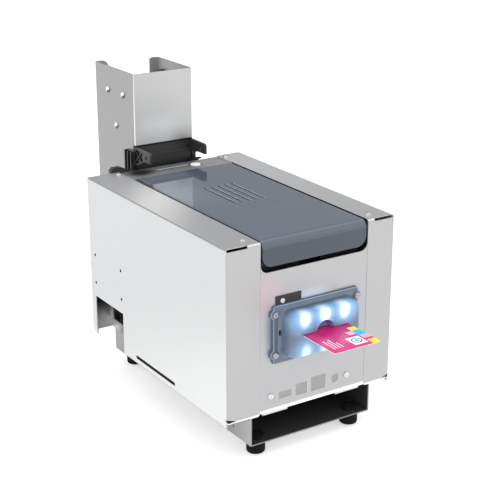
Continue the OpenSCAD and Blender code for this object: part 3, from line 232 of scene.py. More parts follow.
def dress(nodes, mat):
    for name in nodes.split():
        wear(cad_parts[name], mat)


# brushed sheet metal; side, front and top are tones by facing that paint shade, bright is a painted highlight,
# and dim and black are painted shade
sheetMetal = {
    "side": tone(211, 213, 214), "front": tone(194, 194, 195), "top": tone(206, 207, 209),
    "inner": tone(150, 151, 152), "bright": tone(255), "dim": tone(150), "black": tone(8),
    "streak": tone(205), "streakShare": 0.05, "metal": 0.5, "bendMetal": 0.15, "rough": 0.36,
}


def brushedSheet(name, side, front, top, stretch=(60, 2, 60),
                 rough=sheetMetal["rough"], metal=sheetMetal["metal"]):
    mat, shader = newFinish(name, rough, metal)
    base = byFacing(mat, side, front, top)
    streaks = grain(mat, 40, stretch, detail=6.0)
    darker = mixTone(mat, 1.0, base, sheetMetal["streak"], "MULTIPLY")
    base = mixTone(mat, remap(mat, streaks, *noiseBand, 0.0, sheetMetal["streakShare"]), base, darker)
    paint(mat, shader, base)
    feed(mat, shader, {"Roughness": remap(mat, streaks, *wideBand, rough - 0.04, rough + 0.05)})
    relief(mat, shader, streaks, strength=0.03, depth=0.00004, edge=0.0004)
    return mat, shader, base


# side panels: wall, flanges and lips
panelLook = {
    "wallSlope": -0.35, "wallFade": (-150, -5), "wallShare": 0.55,      # painted light: the wall lighter low down and in front
    "topRight": tone(212, 214, 215), "topRear": tone(233, 236, 238),    # painted reflection on the right top flange, lighter towards the rear
    "topFade": (20, 260), "topFrom": (100, 110),
    "leftFlange": ((-1, 38.6), None, (179.6, 181)),
    "gleam": tone(250), "gleamSlope": -1.27, "gleamRun": (50, 146, 226),    # start, peak and end
    "bendSides": 0.8,
    "hoodEdges": ((38.0, 38.9), (163.9, 164.9)), "hoodRun": (None, (3, 249), (178.0, 182)),
    "holesY": (210.2, 270.2), "holesZ": (62.2, 94.6), "holeFade": (1.95, 1.75),
    "slot": ((-1, 1.3), (80, 180), (4.6, 9.0)), "lipHole": ((1.5, 12), (0.3, 3), (3.9, 8)),
    "gapRight": 2.2,                                                    # the right corner's gap is narrower
    "gapSides": ((0.34, 8.5, 8.3), (0.97, 6.6, 6.8), (-0.1, 3.6, 3.8)),     # slope, and where it fades
    "footZ": (5.0, 4.4), "footY": (1.6, 1.2), "footHalf": (96.6, 96.0), "footGlow": 0.5,
    "seamX": ((36.5, 37.0), (40.0, 39.5)), "seamZ": (149, 148), "seamGlow": 0.18,
}


def panelSheet(look):
    mat, shader, base = brushedSheet("panelSheet", sheetMetal["side"], sheetMetal["front"], sheetMetal["top"])
    x, y, z = place = millimetres(mat)
    across, along, up = facing(mat)
    low = calc(mat, "MULTIPLY_ADD", y, look["wallSlope"], calc(mat, "MULTIPLY", z, -1.0))
    topRight = mixTone(mat, remap(mat, y, *look["topFade"], smooth=False), look["topRight"], look["topRear"])
    # the long soft gleam across the left top flange
    slant = calc(mat, "MULTIPLY_ADD", x, look["gleamSlope"], y)
    start, peak, end = look["gleamRun"]
    gleam = allOf(mat, remap(mat, slant, start, peak), remap(mat, slant, peak, end, 1.0, 0.0))
    # bends catch the light in front and stay dim along the sides
    frontBend = bendMask(mat, 1, 2)
    # painted light low on the wall, a painted reflection on the right top flange, the painted gleam, painted
    # highlights on the front bends and painted shade on the side bends
    base = overlay(
        mat, base,
        (sheetMetal["bright"], remap(mat, low, *look["wallFade"]), across, look["wallShare"]),
        (topRight, up, remap(mat, x, *look["topFrom"])),
        (look["gleam"], gleam, boxMask(mat, place, *look["leftFlange"], 0.2)),
        (sheetMetal["bright"], frontBend), (sheetMetal["dim"], bendMask(mat, 0, 2), look["bendSides"]))
    # the cut edges beside the hood and those of the holes and slots are in shade
    leftEdge, rightEdge = (inside(mat, x, *limits) for limits in look["hoodEdges"])
    hoodEdge = anyOf(mat, allOf(mat, leftEdge, across), rightEdge)
    shade = allOf(mat, hoodEdge, boxMask(mat, place, *look["hoodRun"]))
    turned = remap(mat, across, *edgeOn)
    for holeY in look["holesY"]:
        for holeZ in look["holesZ"]:
            fromHole = distanceTo(mat, place, (None, holeY, holeZ))
            shade = anyOf(mat, shade, allOf(mat, remap(mat, fromHole, *look["holeFade"]), turned))
    slot = allOf(mat, boxMask(mat, place, *look["slot"]), turned)
    lipHole = allOf(mat, boxMask(mat, place, *look["lipHole"]), remap(mat, along, *edgeOn))
    # the relief of the bends at both lower front corners is a three-cornered gap, painted black as shade
    fromRight = calc(mat, "SUBTRACT", housingWidth, x)
    inward = calc(mat, "MINIMUM", x, calc(mat, "MULTIPLY", fromRight, look["gapRight"]))
    gap = [remap(mat, calc(mat, "MULTIPLY_ADD", inward, slope, z), *fade)
           for slope, *fade in look["gapSides"]]
    shade = anyOf(mat, shade, slot, lipHole, allOf(mat, *gap, remap(mat, y, *frontSkin)))
    paint(mat, shader, mixTone(mat, shade, base, sheetMetal["black"]))
    bendMetal = remap(mat, frontBend, 0, 1, sheetMetal["metal"], sheetMetal["bendMetal"])
    feed(mat, shader, {"Metallic": bendMetal})
    # light on the lower edge of the flanges and down the seam beside the front panel
    fromMiddle = calc(mat, "ABSOLUTE", calc(mat, "SUBTRACT", x, housingWidth / 2))
    foot = allOf(mat, remap(mat, z, *look["footZ"]), remap(mat, y, *look["footY"]),
                 remap(mat, fromMiddle, *look["footHalf"]), look["footGlow"])
    seam = allOf(mat, *(remap(mat, x, *fade) for fade in look["seamX"]), across, remap(mat, y, *frontSkin),
                 remap(mat, z, *look["seamZ"]), look["seamGlow"])
    glow(mat, shader, allOf(mat, anyOf(mat, foot, seam), noneOf(mat, shade)))
    return mat


frontLook = {
    "brush": (2, 2, 60),
    "pink": tone(214, 194, 201), "pinkAt": (46, None, 126), "pinkFade": (26, 4), "pinkShare": 0.6,
    "blue": tone(218, 230, 252), "blueAt": (98, None, 112), "blueFade": (16, 3), "blueShare": 0.7,
    "dim": tone(140, 147, 163), "dimX": ((41, 52), (60, 58)), "dimZ": (64, 104, 8), "dimShare": 0.95,
    "foldZ": (8.0, 5.6), "foldY": (1.4, 1.0), "foldGlow": 0.6,
    "tabZ": (3.1, 2.9), "tabGlow": 0.35, "tabLine": (2.3, 3.0, 0.1),
    "ports": ((56, 162), (0.1, 1.1), (7.6, 46)), "portsTurn": (0.4, 0.1), "portsGlow": 0.42,
    "seamX": (41, 40.5), "seamZ": (149, 148), "seamGlow": 0.18,
}


def frontSheet(look):
    mat, shader, base = brushedSheet("frontSheet", sheetMetal["side"], sheetMetal["front"], sheetMetal["top"],
                                     look["brush"])
    x, y, z = place = millimetres(mat)
    across, along = facing(mat)[:2]
    # faint pink and blue light that the bezel throws on the sheet, and its soft shade on the left
    pink = remap(mat, distanceTo(mat, place, look["pinkAt"]), *look["pinkFade"])
    blue = remap(mat, distanceTo(mat, place, look["blueAt"], (0.5, 1, 1)), *look["blueFade"])
    dim = allOf(mat, *(remap(mat, x, *fade) for fade in look["dimX"]), inside(mat, z, *look["dimZ"]))
    base = overlay(mat, base, (look["dim"], dim, look["dimShare"]), (look["pink"], pink, look["pinkShare"]),
                   (look["blue"], blue, look["blueShare"]))
    # the fold along the lower edge catches the light
    fold = allOf(mat, remap(mat, z, *look["foldZ"]), remap(mat, y, *look["foldY"]))
    paint(mat, shader, mixTone(mat, fold, base, sheetMetal["bright"]))
    foldMetal = remap(mat, fold, 0, 1, sheetMetal["metal"], sheetMetal["bendMetal"])
    feed(mat, shader, {"Metallic": foldMetal})
    # so do the tabs, the walls of the port openings and the edge beside the left flange
    tabs = allOf(mat, remap(mat, z, *look["tabZ"]), along, look["tabGlow"])
    foldOrTabs = anyOf(mat, allOf(mat, fold, look["foldGlow"]), tabs)
    lower = allOf(mat, foldOrTabs, noneOf(mat, inside(mat, z, *look["tabLine"])))
    seam = allOf(mat, across, remap(mat, x, *look["seamX"]), remap(mat, z, *look["seamZ"]),
                 remap(mat, y, *frontSkin), look["seamGlow"])
    walls = allOf(mat, boxMask(mat, place, *look["ports"]), remap(mat, along, *look["portsTurn"]),
                  look["portsGlow"])
    glow(mat, shader, anyOf(mat, lower, seam, walls))
    return mat


towerLook = {
    "side": tone(162, 161, 162), "front": tone(207, 207, 207), "top": tone(150), "right": tone(165),
    "rightFrom": (130, 134),
    "gleam": tone(240), "gleamZ": (212, 232, 10), "gleamX": (70, 116, 14), "gleamShare": 0.5,
    "dusk": tone(150), "duskZ": (222, 202), "duskX": (100, 128), "duskShare": 0.6,
    "bend": tone(232), "bendZ": (290, 205), "bendY": (300, 296), "bendX": (72, 68),
    "bendGlow": 0.22, "bendGlowZ": (300, 205), "lowEdge": (203.5, 204.5), "behindY": (296, 295),
}


def towerSheet(look):
    mat, shader, base = brushedSheet("towerSheet", look["side"], look["front"], look["top"], (2, 60, 60))
    x, y, z = millimetres(mat)
    across, along = facing(mat)[:2]
    # a painted highlight high on the front strip, painted shade low on its right, and painted shade on the
    # right wall
    gleam = allOf(mat, inside(mat, z, *look["gleamZ"]), inside(mat, x, *look["gleamX"]), look["gleamShare"])
    dusk = allOf(mat, remap(mat, z, *look["duskZ"]), remap(mat, x, *look["duskX"]), look["duskShare"])
    # the left front bend has a painted highlight, brighter low down
    bend = allOf(mat, bendMask(mat, 0, 1), remap(mat, y, *look["bendY"]), remap(mat, x, *look["bendX"]))
    bendTone = mixTone(mat, remap(mat, z, *look["bendZ"]), look["bend"], sheetMetal["bright"])
    # the lower edge of the front strip, behind the feeder, is painted black as shade
    aboveFeeder = remap(mat, z, *look["lowEdge"])
    behind = allOf(mat, noneOf(mat, aboveFeeder), remap(mat, y, *look["behindY"]))
    paint(mat, shader, overlay(
        mat, base, (look["gleam"], gleam, along), (look["dusk"], dusk, along),
        (look["right"], across, remap(mat, x, *look["rightFrom"])), (bendTone, bend),
        (sheetMetal["black"], behind)))
    glow(mat, shader, allOf(mat, bend, aboveFeeder, remap(mat, z, *look["bendGlowZ"]), look["bendGlow"]))
    return mat


deckLook = {
    "side": tone(200), "top": tone(210, 212, 214), "rough": 0.4, "metal": 0.85, "dark": tone(22),
    "slitFront": ((76.0, 121.4, 0.2), (267.3, 268.85, 0.1)),
    "slitRear": ((78.8, 120.0, 0.2), (270.15, 271.0, 0.1)), "slitZ": (178.5, 178.7), "slitGlow": 0.5,
    "buttonAt": (127.7, 267, None), "ring": (5.4, 6.7, 0.2), "ringFrom": (126, 130),
    "shade": tone(26), "shadeAt": (60, 271, None), "shadeStretch": (0.75, 1.1, 1), "shadeFade": (19, 4),
    "shadeShare": 0.9,
}


def deckSheet(look):
    mat, shader, base = brushedSheet("deckSheet", look["side"], look["side"], look["top"], (2, 60, 60),
                                     look["rough"], look["metal"])
    x, y, z = place = millimetres(mat)
    # dark shade of the feeder in the corner of the deck
    corner = remap(mat, distanceTo(mat, place, look["shadeAt"], look["shadeStretch"]), *look["shadeFade"])
    base = mixTone(mat, allOf(mat, corner, look["shadeShare"]), base, look["shade"])
    # painted shade on the slit's front edge and a painted highlight on its rear one, and a painted shadow ring
    # on one side of the button
    front, rear = (allOf(mat, inside(mat, x, *runX), inside(mat, y, *runY))
                   for runX, runY in (look["slitFront"], look["slitRear"]))
    fromButton = distanceTo(mat, place, look["buttonAt"])
    ring = allOf(mat, inside(mat, fromButton, *look["ring"]), remap(mat, x, *look["ringFrom"]))
    paint(mat, shader, mixTone(mat, anyOf(mat, front, ring), base, look["dark"]))
    glow(mat, shader, allOf(mat, rear, remap(mat, z, *look["slitZ"]), look["slitGlow"]))
    return mat


recessLook = {
    "dark": tone(24), "lit": tone(200), "lip": tone(235), "lightAt": (17, 276, 9), "stretch": (0.8, 0.9, 1),
    "fade": (31, 4), "lipPlace": ((-1, 3), None, (-1, 3)), "rough": 0.3,
}


def recessSheet(look):
    inner = sheetMetal["inner"]
    mat, shader, base = brushedSheet("recessSheet", inner, inner, inner, (2, 20, 20), look["rough"])
    place = millimetres(mat)
    # light low on the rear part of the walls, dark towards the top and the front
    lit = remap(mat, distanceTo(mat, place, look["lightAt"], look["stretch"]), *look["fade"])
    base = mixTone(mat, lit, look["dark"], look["lit"])
    lip = boxMask(mat, place, *look["lipPlace"])
    paint(mat, shader, mixTone(mat, lip, base, look["lip"]))
    return mat


# plain sheets: colours by facing (painted shade), brush direction, roughness and metal
plainSheets = {
    "innerSheet": {"tones": (sheetMetal["inner"],) * 3, "brush": (20, 20, 2), "rough": 0.42, "metal": 0.5,
                   "nodes": "rear_panel hinge_brackets mech_plates"},
    "darkSheet": {"tones": (tone(20), tone(90), tone(110)), "brush": (2, 20, 20), "rough": 0.5, "metal": 0.3,
                  "nodes": "floor_plate"},
    "portPlateSheet": {"tones": (tone(168),) * 3, "brush": (2, 2, 40), "rough": 0.45, "metal": 0.5,
                       "nodes": "port_plate"},
}

dress("left_side_panel right_side_panel", panelSheet(panelLook))
dress("front_panel", frontSheet(frontLook))
dress("rear_deck", deckSheet(deckLook))
dress("card_tower", towerSheet(towerLook))
dress("cable_recess", recessSheet(recessLook))
for name, look in plainSheets.items():
    dress(look["nodes"], brushedSheet(name, *look["tones"], look["brush"], look["rough"], look["metal"])[0])
print("sheet metal done")

# base tray: gray outside, with painted shade on its ends and the middle of its sides and painted light near
# the front of its sides; dark inside
trayLook = {
    "outside": tone(167, 166, 166), "ends": tone(150), "brush": (2, 2, 40),
    "lighter": tone(188), "lighterY": (48, 2),
    "darker": tone(140), "darkerY": (20, 120, 18), "darkerShare": 0.5,
    "inside": tone(66, 66, 67), "insideLow": tone(56), "speck": 900, "metal": 0.5, "rough": 0.45,
    "within": ((29.66, 172.94), (2.3, 284.84), (-28.34, 100)),      # half a sheet in from the outer faces
}


def trayPaint(look):
    mat, shader, base = brushedSheet("trayPaint", look["outside"], look["ends"], look["ends"], look["brush"],
                                     look["rough"])
    place = millimetres(mat)
    y = place[1]
    across = facing(mat)[0]
    within = boxMask(mat, place, *look["within"])
    black = mixTone(mat, grain(mat, look["speck"], detail=2.0), look["insideLow"], look["inside"])
    # painted shade along the middle of the sides and painted light near their front
    paint(mat, shader, overlay(
        mat, base, (look["darker"], inside(mat, y, *look["darkerY"]), across, look["darkerShare"]),
        (look["lighter"], remap(mat, y, *look["lighterY"], smooth=False), across), (black, within)))
    feed(mat, shader, {"Metallic": remap(mat, within, 0, 1, look["metal"], 0.0, smooth=False)})
    return mat


dress("base_tray", trayPaint(trayLook))


# moulded plastics and rubber: darker and lighter tone, roughness, scale and strength of the fine relief
mouldedFinishes = {
    "blackPlastic": {"tones": (tone(34, 35, 35), tone(52, 53, 54)),
                     "nodes": "feeder_bracket card_guides card_weight card_rails print_head_arm hood_catch "
                              "fan_frame fan_rotor button_guide"},
    "tagBlack": {"tones": (tone(36, 36, 37), tone(46, 46, 47)), "rough": 0.35, "nodes": "tag_plate"},
    "footRubber": {"tones": (tone(16), tone(24)), "rough": 0.9, "speck": 900, "strength": 0.5,
                   "specular": 0.25, "nodes": "feet foot_screws"},
    "rollerRubber": {"tones": (tone(24, 24, 25), tone(38, 38, 39)), "rough": 0.75, "speck": 1100,
                     "strength": 0.5,
                     "nodes": "drive_belt exit_roller platen_roller infeed_roller exit_pinch infeed_pinch "
                              "feed_roller"},
    "whitePlastic": {"tones": (tone(243), tone(252)), "rough": 0.3, "speck": 900, "strength": 0.06,
                     "nodes": "feed_pinion"},
    "motorPaint": {"tones": (tone(70, 72, 75), tone(92, 94, 97)), "rough": 0.4, "speck": 700, "strength": 0.2,
                   "nodes": "feed_motor drive_motor"},
    "ribbonPlastic": {"tones": (tone(26, 26, 30), tone(40, 40, 46)), "rough": 0.2, "speck": 300,
                      "strength": 0.05,
                      "nodes": "supply_spool takeup_spool ribbon_film"},
    "buttonWhite": {"tones": (tone(250), tone(255)), "rough": 0.35, "speck": 900, "strength": 0.05,
                    "glow": 0.3, "nodes": "power_button"},
    "socketBlack": {"tones": (tone(8), tone(16)), "rough": 0.6, "strength": 0.2,
                    "nodes": "power_inlet usb_socket tower_bracket"},
    # painted shade: a flat black for what lies in deep shade, such as the hood's tongue
    "shadeBlack": {"tones": (tone(2), tone(6)), "rough": 0.9, "speck": 900, "strength": 0.1, "specular": 0.0,
                  "nodes": ""},
}


def mouldedPlastic(name, low, high, rough=0.42, speck=1400, strength=0.25):
    mat, shader = newFinish(name, rough)
    fine = grain(mat, speck, detail=3.0)
    broad = grain(mat, 14, detail=3.0)
    base = mixTone(mat, remap(mat, broad, *noiseBand), low, high)
    paint(mat, shader, mixTone(mat, remap(mat, fine, 0.5, 0.9, 0.0, 0.25), base, high))
    feed(mat, shader, {"Roughness": remap(mat, broad, *wideBand, rough - 0.06, rough + 0.08)})
    relief(mat, shader, fine, strength, depth=0.00005, edge=0.0004)
    return mat, shader


plastics = {}
for name, look in mouldedFinishes.items():
    options = {key: look[key] for key in ("rough", "speck", "strength") if key in look}
    plastics[name], shader = mouldedPlastic(name, *look["tones"], **options)
    if "specular" in look:
        feed(plastics[name], shader, {"Specular IOR Level": look["specular"]})
    if "glow" in look:
        glow(plastics[name], shader, look["glow"])
    dress(look["nodes"], plastics[name])

feederLook = {
    "tones": (tone(34, 35, 35), tone(48, 49, 50)), "low": tone(40), "high": tone(50), "speck": 1400,
    "top": tone(88), "topTurn": (0.0, 0.5),
    "arm": tone(60), "armPlace": ((62, 140), (254, 293), (183, 203)),
    "pocket": tone(10), "pocketPlace": ((63.8, 65.3), (272.7, 291.5), (184.5, 200.9)),
}


def feederPlastic(look):
    mat, shader = mouldedPlastic("feederPlastic", *look["tones"])
    place = millimetres(mat)
    across, _, up = facing(mat)
    base = mixTone(mat, grain(mat, look["speck"]), look["low"], look["high"])
    # painted light on faces turned up and on the sides of the arm, and painted shade in the pocket with
    # crossed ribs in the root of the left arm
    paint(mat, shader, overlay(
        mat, base, (look["top"], up, remap(mat, lean(mat, upward), *look["topTurn"])),
        (look["arm"], boxMask(mat, place, *look["armPlace"]), across),
        (look["pocket"], boxMask(mat, place, *look["pocketPlace"]))))
    return mat


dress("feeder_housing", feederPlastic(feederLook))
print("plastics done")

# a closed skin over loops of as many points each
def solidFrom(name, loops, scale=0.001):
    mesh = bpy.data.meshes.new(name)
    bm = bmesh.new()
    rings = [[bm.verts.new(p) for p in loop] for loop in loops]
    count = len(rings[0])
    for low, high in zip(rings, rings[1:]):
        for i in range(count):
            bm.faces.new((low[i], low[(i + 1) % count], high[(i + 1) % count], high[i]))
    bm.faces.new(rings[0][::-1])
    bm.faces.new(rings[-1])
    bmesh.ops.recalc_face_normals(bm, faces=bm.faces)
    bmesh.ops.scale(bm, vec=(scale, scale, scale), verts=bm.verts)
    bm.to_mesh(mesh)
    bm.free()
    return addObject(name, mesh)


def carve(piece, tool, how="DIFFERENCE"):
    cut = piece.modifiers.new("cut", "BOOLEAN")
    cut.operation = how
    cut.solver = "EXACT"
    cut.object = tool
    bpy.context.view_layer.update()
    made = bpy.data.meshes.new_from_object(piece.evaluated_get(bpy.context.evaluated_depsgraph_get()))
    piece.modifiers.clear()
    piece.data = made
    bpy.data.objects.remove(tool)


# glossy hood, and the tongue that hangs behind its front edge, painted black as shade
hoodLook = {
    "top": tone(98, 114, 134), "topRear": tone(114, 130, 150), "rearY": (110, 170), "rearX": (100, 60),
    "corner": tone(128, 140, 154), "cornerY": (205, 232), "cornerX": (112, 92),
    "front": tone(14, 40, 66), "frontTurn": (0.15, 0.8), "sides": tone(86, 102, 124),
    "strip": tone(88, 103, 123), "stripX": (44.6, 43.0), "foldLine": (7.9, 9.6, 0.5), "foldShare": 0.7,
    "foldHigh": tone(98, 111, 127), "foldLow": tone(74, 86, 100),
    "foldZ": (172.3, 173.3), "foldY": (7.7, 7.0),
    "vents": ((84, 123), (114, 181), (176, 181)), "slotWall": tone(40, 52, 70),
    "slotEdge": tone(215, 221, 230), "slotEdgeZ": (179.45, 180.2, 0.12), "slotLight": (0.80, 0.88, 1.0, 1.0),
    "slotGlow": 0.22,
    "ventX": 85.9, "ventPitch": 8.45,
    "laneX": (0.44, 0.56, 0.02), "lanePlace": ((82, 124), None, (179.5, 181)),
    "laneY": ((92, 114, 3), (180, 204, 3)), "laneShare": 0.6,
    "haze": tone(130, 138, 150), "hazeShare": 0.03,
    "rough": 0.06, "roughRange": (0.04, 0.08), "coat": 1.0, "coatRough": 0.04, "ior": 1.5,
    "tongueLow": (60, 2.45, 100), "tongueHigh": (140, 14, 157),
}


def hoodGloss(look):
    mat, shader = newFinish("hoodGloss", look["rough"])
    broad = grain(mat, 6, detail=2.0)
    across, along = facing(mat)[:2]
    x, y, z = place = millimetres(mat)
    # a darker strip along the left edge and a thin line where the front fold starts
    fold = allOf(mat, inside(mat, y, *look["foldLine"]), look["foldShare"])
    strip = anyOf(mat, remap(mat, x, *look["stripX"]), fold)
    foldTone = mixTone(mat, along, look["foldHigh"], look["foldLow"])
    # walls of the vent slots: painted shade, with a painted highlight along their upper edge
    sideways = remap(mat, across, *faceOn)
    wall = allOf(mat, boxMask(mat, place, *look["vents"]), sideways)
    slotEdge = inside(mat, z, *look["slotEdgeZ"])
    wallTone = mixTone(mat, slotEdge, look["slotWall"], look["slotEdge"])
    glow(mat, shader, allOf(mat, wall, slotEdge, look["slotGlow"]), look["slotLight"])
    # faint lines that carry on past both ends of the slots
    fromFirst = calc(mat, "SUBTRACT", x, look["ventX"] - look["ventPitch"] / 2)
    lane = calc(mat, "FRACT", calc(mat, "DIVIDE", fromFirst, look["ventPitch"]))
    past = anyOf(mat, *(inside(mat, y, *limits) for limits in look["laneY"]))
    lines = allOf(mat, inside(mat, lane, *look["laneX"]), past, boxMask(mat, place, *look["lanePlace"]))
    # painted reflection lighter towards the rear and in the rear corner of the top, painted shade on the front
    # and side faces, painted light and shade across the fold
    paint(mat, shader, overlay(
        mat, look["top"], (look["topRear"], remap(mat, y, *look["rearY"]), remap(mat, x, *look["rearX"])),
        (look["corner"], remap(mat, y, *look["cornerY"]), remap(mat, x, *look["cornerX"])),
        (look["strip"], strip), (look["front"], remap(mat, along, *look["frontTurn"])),
        (foldTone, remap(mat, z, *look["foldZ"]), remap(mat, y, *look["foldY"])),
        (look["sides"], sideways), (wallTone, wall), (look["slotWall"], lines, look["laneShare"]),
        (look["haze"], remap(mat, broad, *noiseBand, 0.0, look["hazeShare"]))))
    feed(mat, shader, {"Roughness": remap(mat, broad, *noiseBand, *look["roughRange"]), "IOR": look["ior"],
                       "Coat Weight": look["coat"], "Coat Roughness": look["coatRough"]})
    relief(mat, shader, grain(mat, 300, detail=2.0), strength=0.02, depth=0.00005, edge=0.0006)
    return mat


# the box that parts the tongue from the hood's shell
def tongueBox(look):
    low, high = (at(*look[key]) * 1000 for key in ("tongueLow", "tongueHigh"))
    corners = ((low.x, low.y), (high.x, low.y), (high.x, high.y), (low.x, high.y))
    return solidFrom("tongueBox", [[(x, y, z) for x, y in corners] for z in (low.z, high.z)])


hoodParts = (("hoodShell", "DIFFERENCE", hoodGloss(hoodLook)),
             ("hoodTongue", "INTERSECT", plastics["shadeBlack"]))
for name, how, finish in hoodParts:
    piece = addObject(name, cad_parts["hood"].data.copy())
    carve(piece, tongueBox(hoodLook), how)
    wear(piece, finish)
    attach(piece, "hood_body")
    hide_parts("hood")
print("hood done")

# lit bezel: half sizes go across and up, and depths are places along y
bezelLook = {
    "body": tone(104, 119, 141), "sheen": tone(140, 156, 184), "edge": tone(176, 196, 226),
    "sheenScale": 20, "sheenShare": 0.12, "upper": tone(82, 96, 116), "upperTurn": (0.4, 0.95),
    "mouth": tone(128, 150, 192), "dark": tone(8), "coat": 0.4, "rough": 0.2,
    # half width, half height, corner radius and depth of each step from the flange's back to the dome's face
    "steps": ((50.1, 29.75, 2.5, -1.2), (50.1, 29.75, 2.5, -2.7), (49.6, 29.25, 2.3, -3.2),
              (45.2, 26.2, 9.5, -3.3), (43.4, 24.6, 9.0, -3.9), (42.3, 23.6, 8.6, -5.2),
              (41.8, 23.1, 8.4, -7.5), (41.4, 22.8, 8.2, -12.0), (41.1, 22.5, 7.6, -15.6),
              (40.7, 22.1, 7.4, -17.4), (39.9, 21.3, 7.0, -18.7), (38.7, 20.1, 6.4, -19.4),
              (37.0, 18.4, 5.4, -19.7)),
    "flangeZ": 84.75, "midZ": 85.3, "riseFrom": 3.2, "riseOver": 4,        # the dome sits a little higher
    "earX": 48.3, "earZ": (64.6, 106.0),                                  # round ears that hold the screws
    "ear": ((5.0, -1.2), (5.0, -2.8), (4.7, -3.2), (4.25, -3.4), (4.1, -4.4), (3.8, -4.6)),
    "hollow": ((39.5, 21.0, 1.0), (39.5, 21.0, -5.0), (38.5, 20.0, -12.0)), "hollowCorner": 6,
    "field": ((30.6, 10.9, -20.5), (30.0, 10.3, -19.6), (28.9, 9.3, -19.25)), "fieldCorner": 2.5,
    "fieldAt": (102.2, 86.6),
    "slot": (27.6, 0.95, 0.5), "slotDepth": (-21.0, -10.0),
    "scoop": ((11.4, -20.5), (10.4, -19.2), (9.4, -17.5), (8.2, -15.0), (7.0, -13.0)),
    "scoopAt": (100.8, 85.6),
    "notch": (1.0, 2.8, 0.3), "notchDepth": (-9.0, 0.0), "notchAt": (58.2, 86.9),
    # where the painted shade of the notch and of the lips of the slot goes, and the scoop's tone
    "notchShade": ((57, 59.4), (-3.15, 5), (83.9, 89.9)),
    "lipsShade": ((72.5, 130), (-19.0, -9), (84.4, 87.0)),
    "scoopFade": (11.0, 10.2), "scoopDepth": (-19.15, -18.8), "edgeDepth": (-3.9, -3.3), "sideEdge": 0.6,
    # the diodes' light through the wall: middle, pitch, and height, strength and shift of both rows
    "glow": (0.27, 0.58, 1.0, 1.0), "core": (0.80, 0.98, 1.0, 1.0), "middle": 99.9, "pitch": 23.3,
    "rows": ((102.6, 1.0, 0.0), (67.0, 0.6, 1.5)),
    "haloFade": (19, 1), "haloStretch": (0.8, 1, 0.85), "coreFade": (8.6, 1.4), "coreStretch": (1, 1, 0.66),
    "dome": ((57, 145.5), None, (60, 110.5)), "domeSoft": 1.5,
    "domeDepth": (-4.0, -17.0), "coreDepth": (-15.5, -19.0), "leastGlow": 0.04,
}


def roundedLoop(halfX, halfZ, radius, corner=8):
    points = []
    for k, (sx, sz) in enumerate(((1, 1), (-1, 1), (-1, -1), (1, -1))):
        for i in range(corner + 1):
            a = math.radians(90 * (k + i / corner))
            points.append((sx * (halfX - radius) + radius * math.cos(a),
                           sz * (halfZ - radius) + radius * math.sin(a)))
    return points


def smoothByAngle(piece, degrees=35):
    for face in piece.data.polygons:
        face.use_smooth = True
    piece.data.set_sharp_from_angle(angle=math.radians(degrees))


def frameLoop(points, depth, midX, midZ):
    return [tuple(1000 * v for v in at(midX + px, depth, midZ + pz)) for px, pz in points]


def roundedBlock(name, steps, corner, middle):
    return solidFrom(name, [frameLoop(roundedLoop(w, h, corner), y, *middle) for w, h, y in steps])


def disc(name, steps, middle, sides=40):
    circle = [(math.cos(2 * math.pi * i / sides), math.sin(2 * math.pi * i / sides)) for i in range(sides)]
    return solidFrom(name, [frameLoop([(r * a, r * b) for a, b in circle], y, *middle) for r, y in steps])


def buildBezel(look):
    loops = []
    for halfX, halfZ, radius, depth in look["steps"]:
        rise = min(1.0, max(0.0, (-depth - look["riseFrom"]) / look["riseOver"]))
        midZ = look["flangeZ"] + rise * (look["midZ"] - look["flangeZ"])
        loops.append(frameLoop(roundedLoop(halfX, halfZ, radius), depth, pathX, midZ))
    body = solidFrom("bezelShell", loops)
    for side in (-1, 1):
        for z in look["earZ"]:
            carve(body, disc("ear", look["ear"], (pathX + side * look["earX"], z)), "UNION")
    carve(body, roundedBlock("hollow", look["hollow"], look["hollowCorner"], (pathX, look["midZ"])))
    # shallow field round the mouth, the slot itself and the thumb scoop
    carve(body, roundedBlock("field", look["field"], look["fieldCorner"], look["fieldAt"]))
    slot = roundedLoop(*look["slot"], 3)
    carve(body, solidFrom("slot", [frameLoop(slot, y, pathX, cardZ) for y in look["slotDepth"]]))
    carve(body, disc("scoop", look["scoop"], look["scoopAt"]))
    notch = roundedLoop(*look["notch"], 2)
    carve(body, solidFrom("notch", [frameLoop(notch, y, *look["notchAt"]) for y in look["notchDepth"]]))
    smoothByAngle(body)
    return body


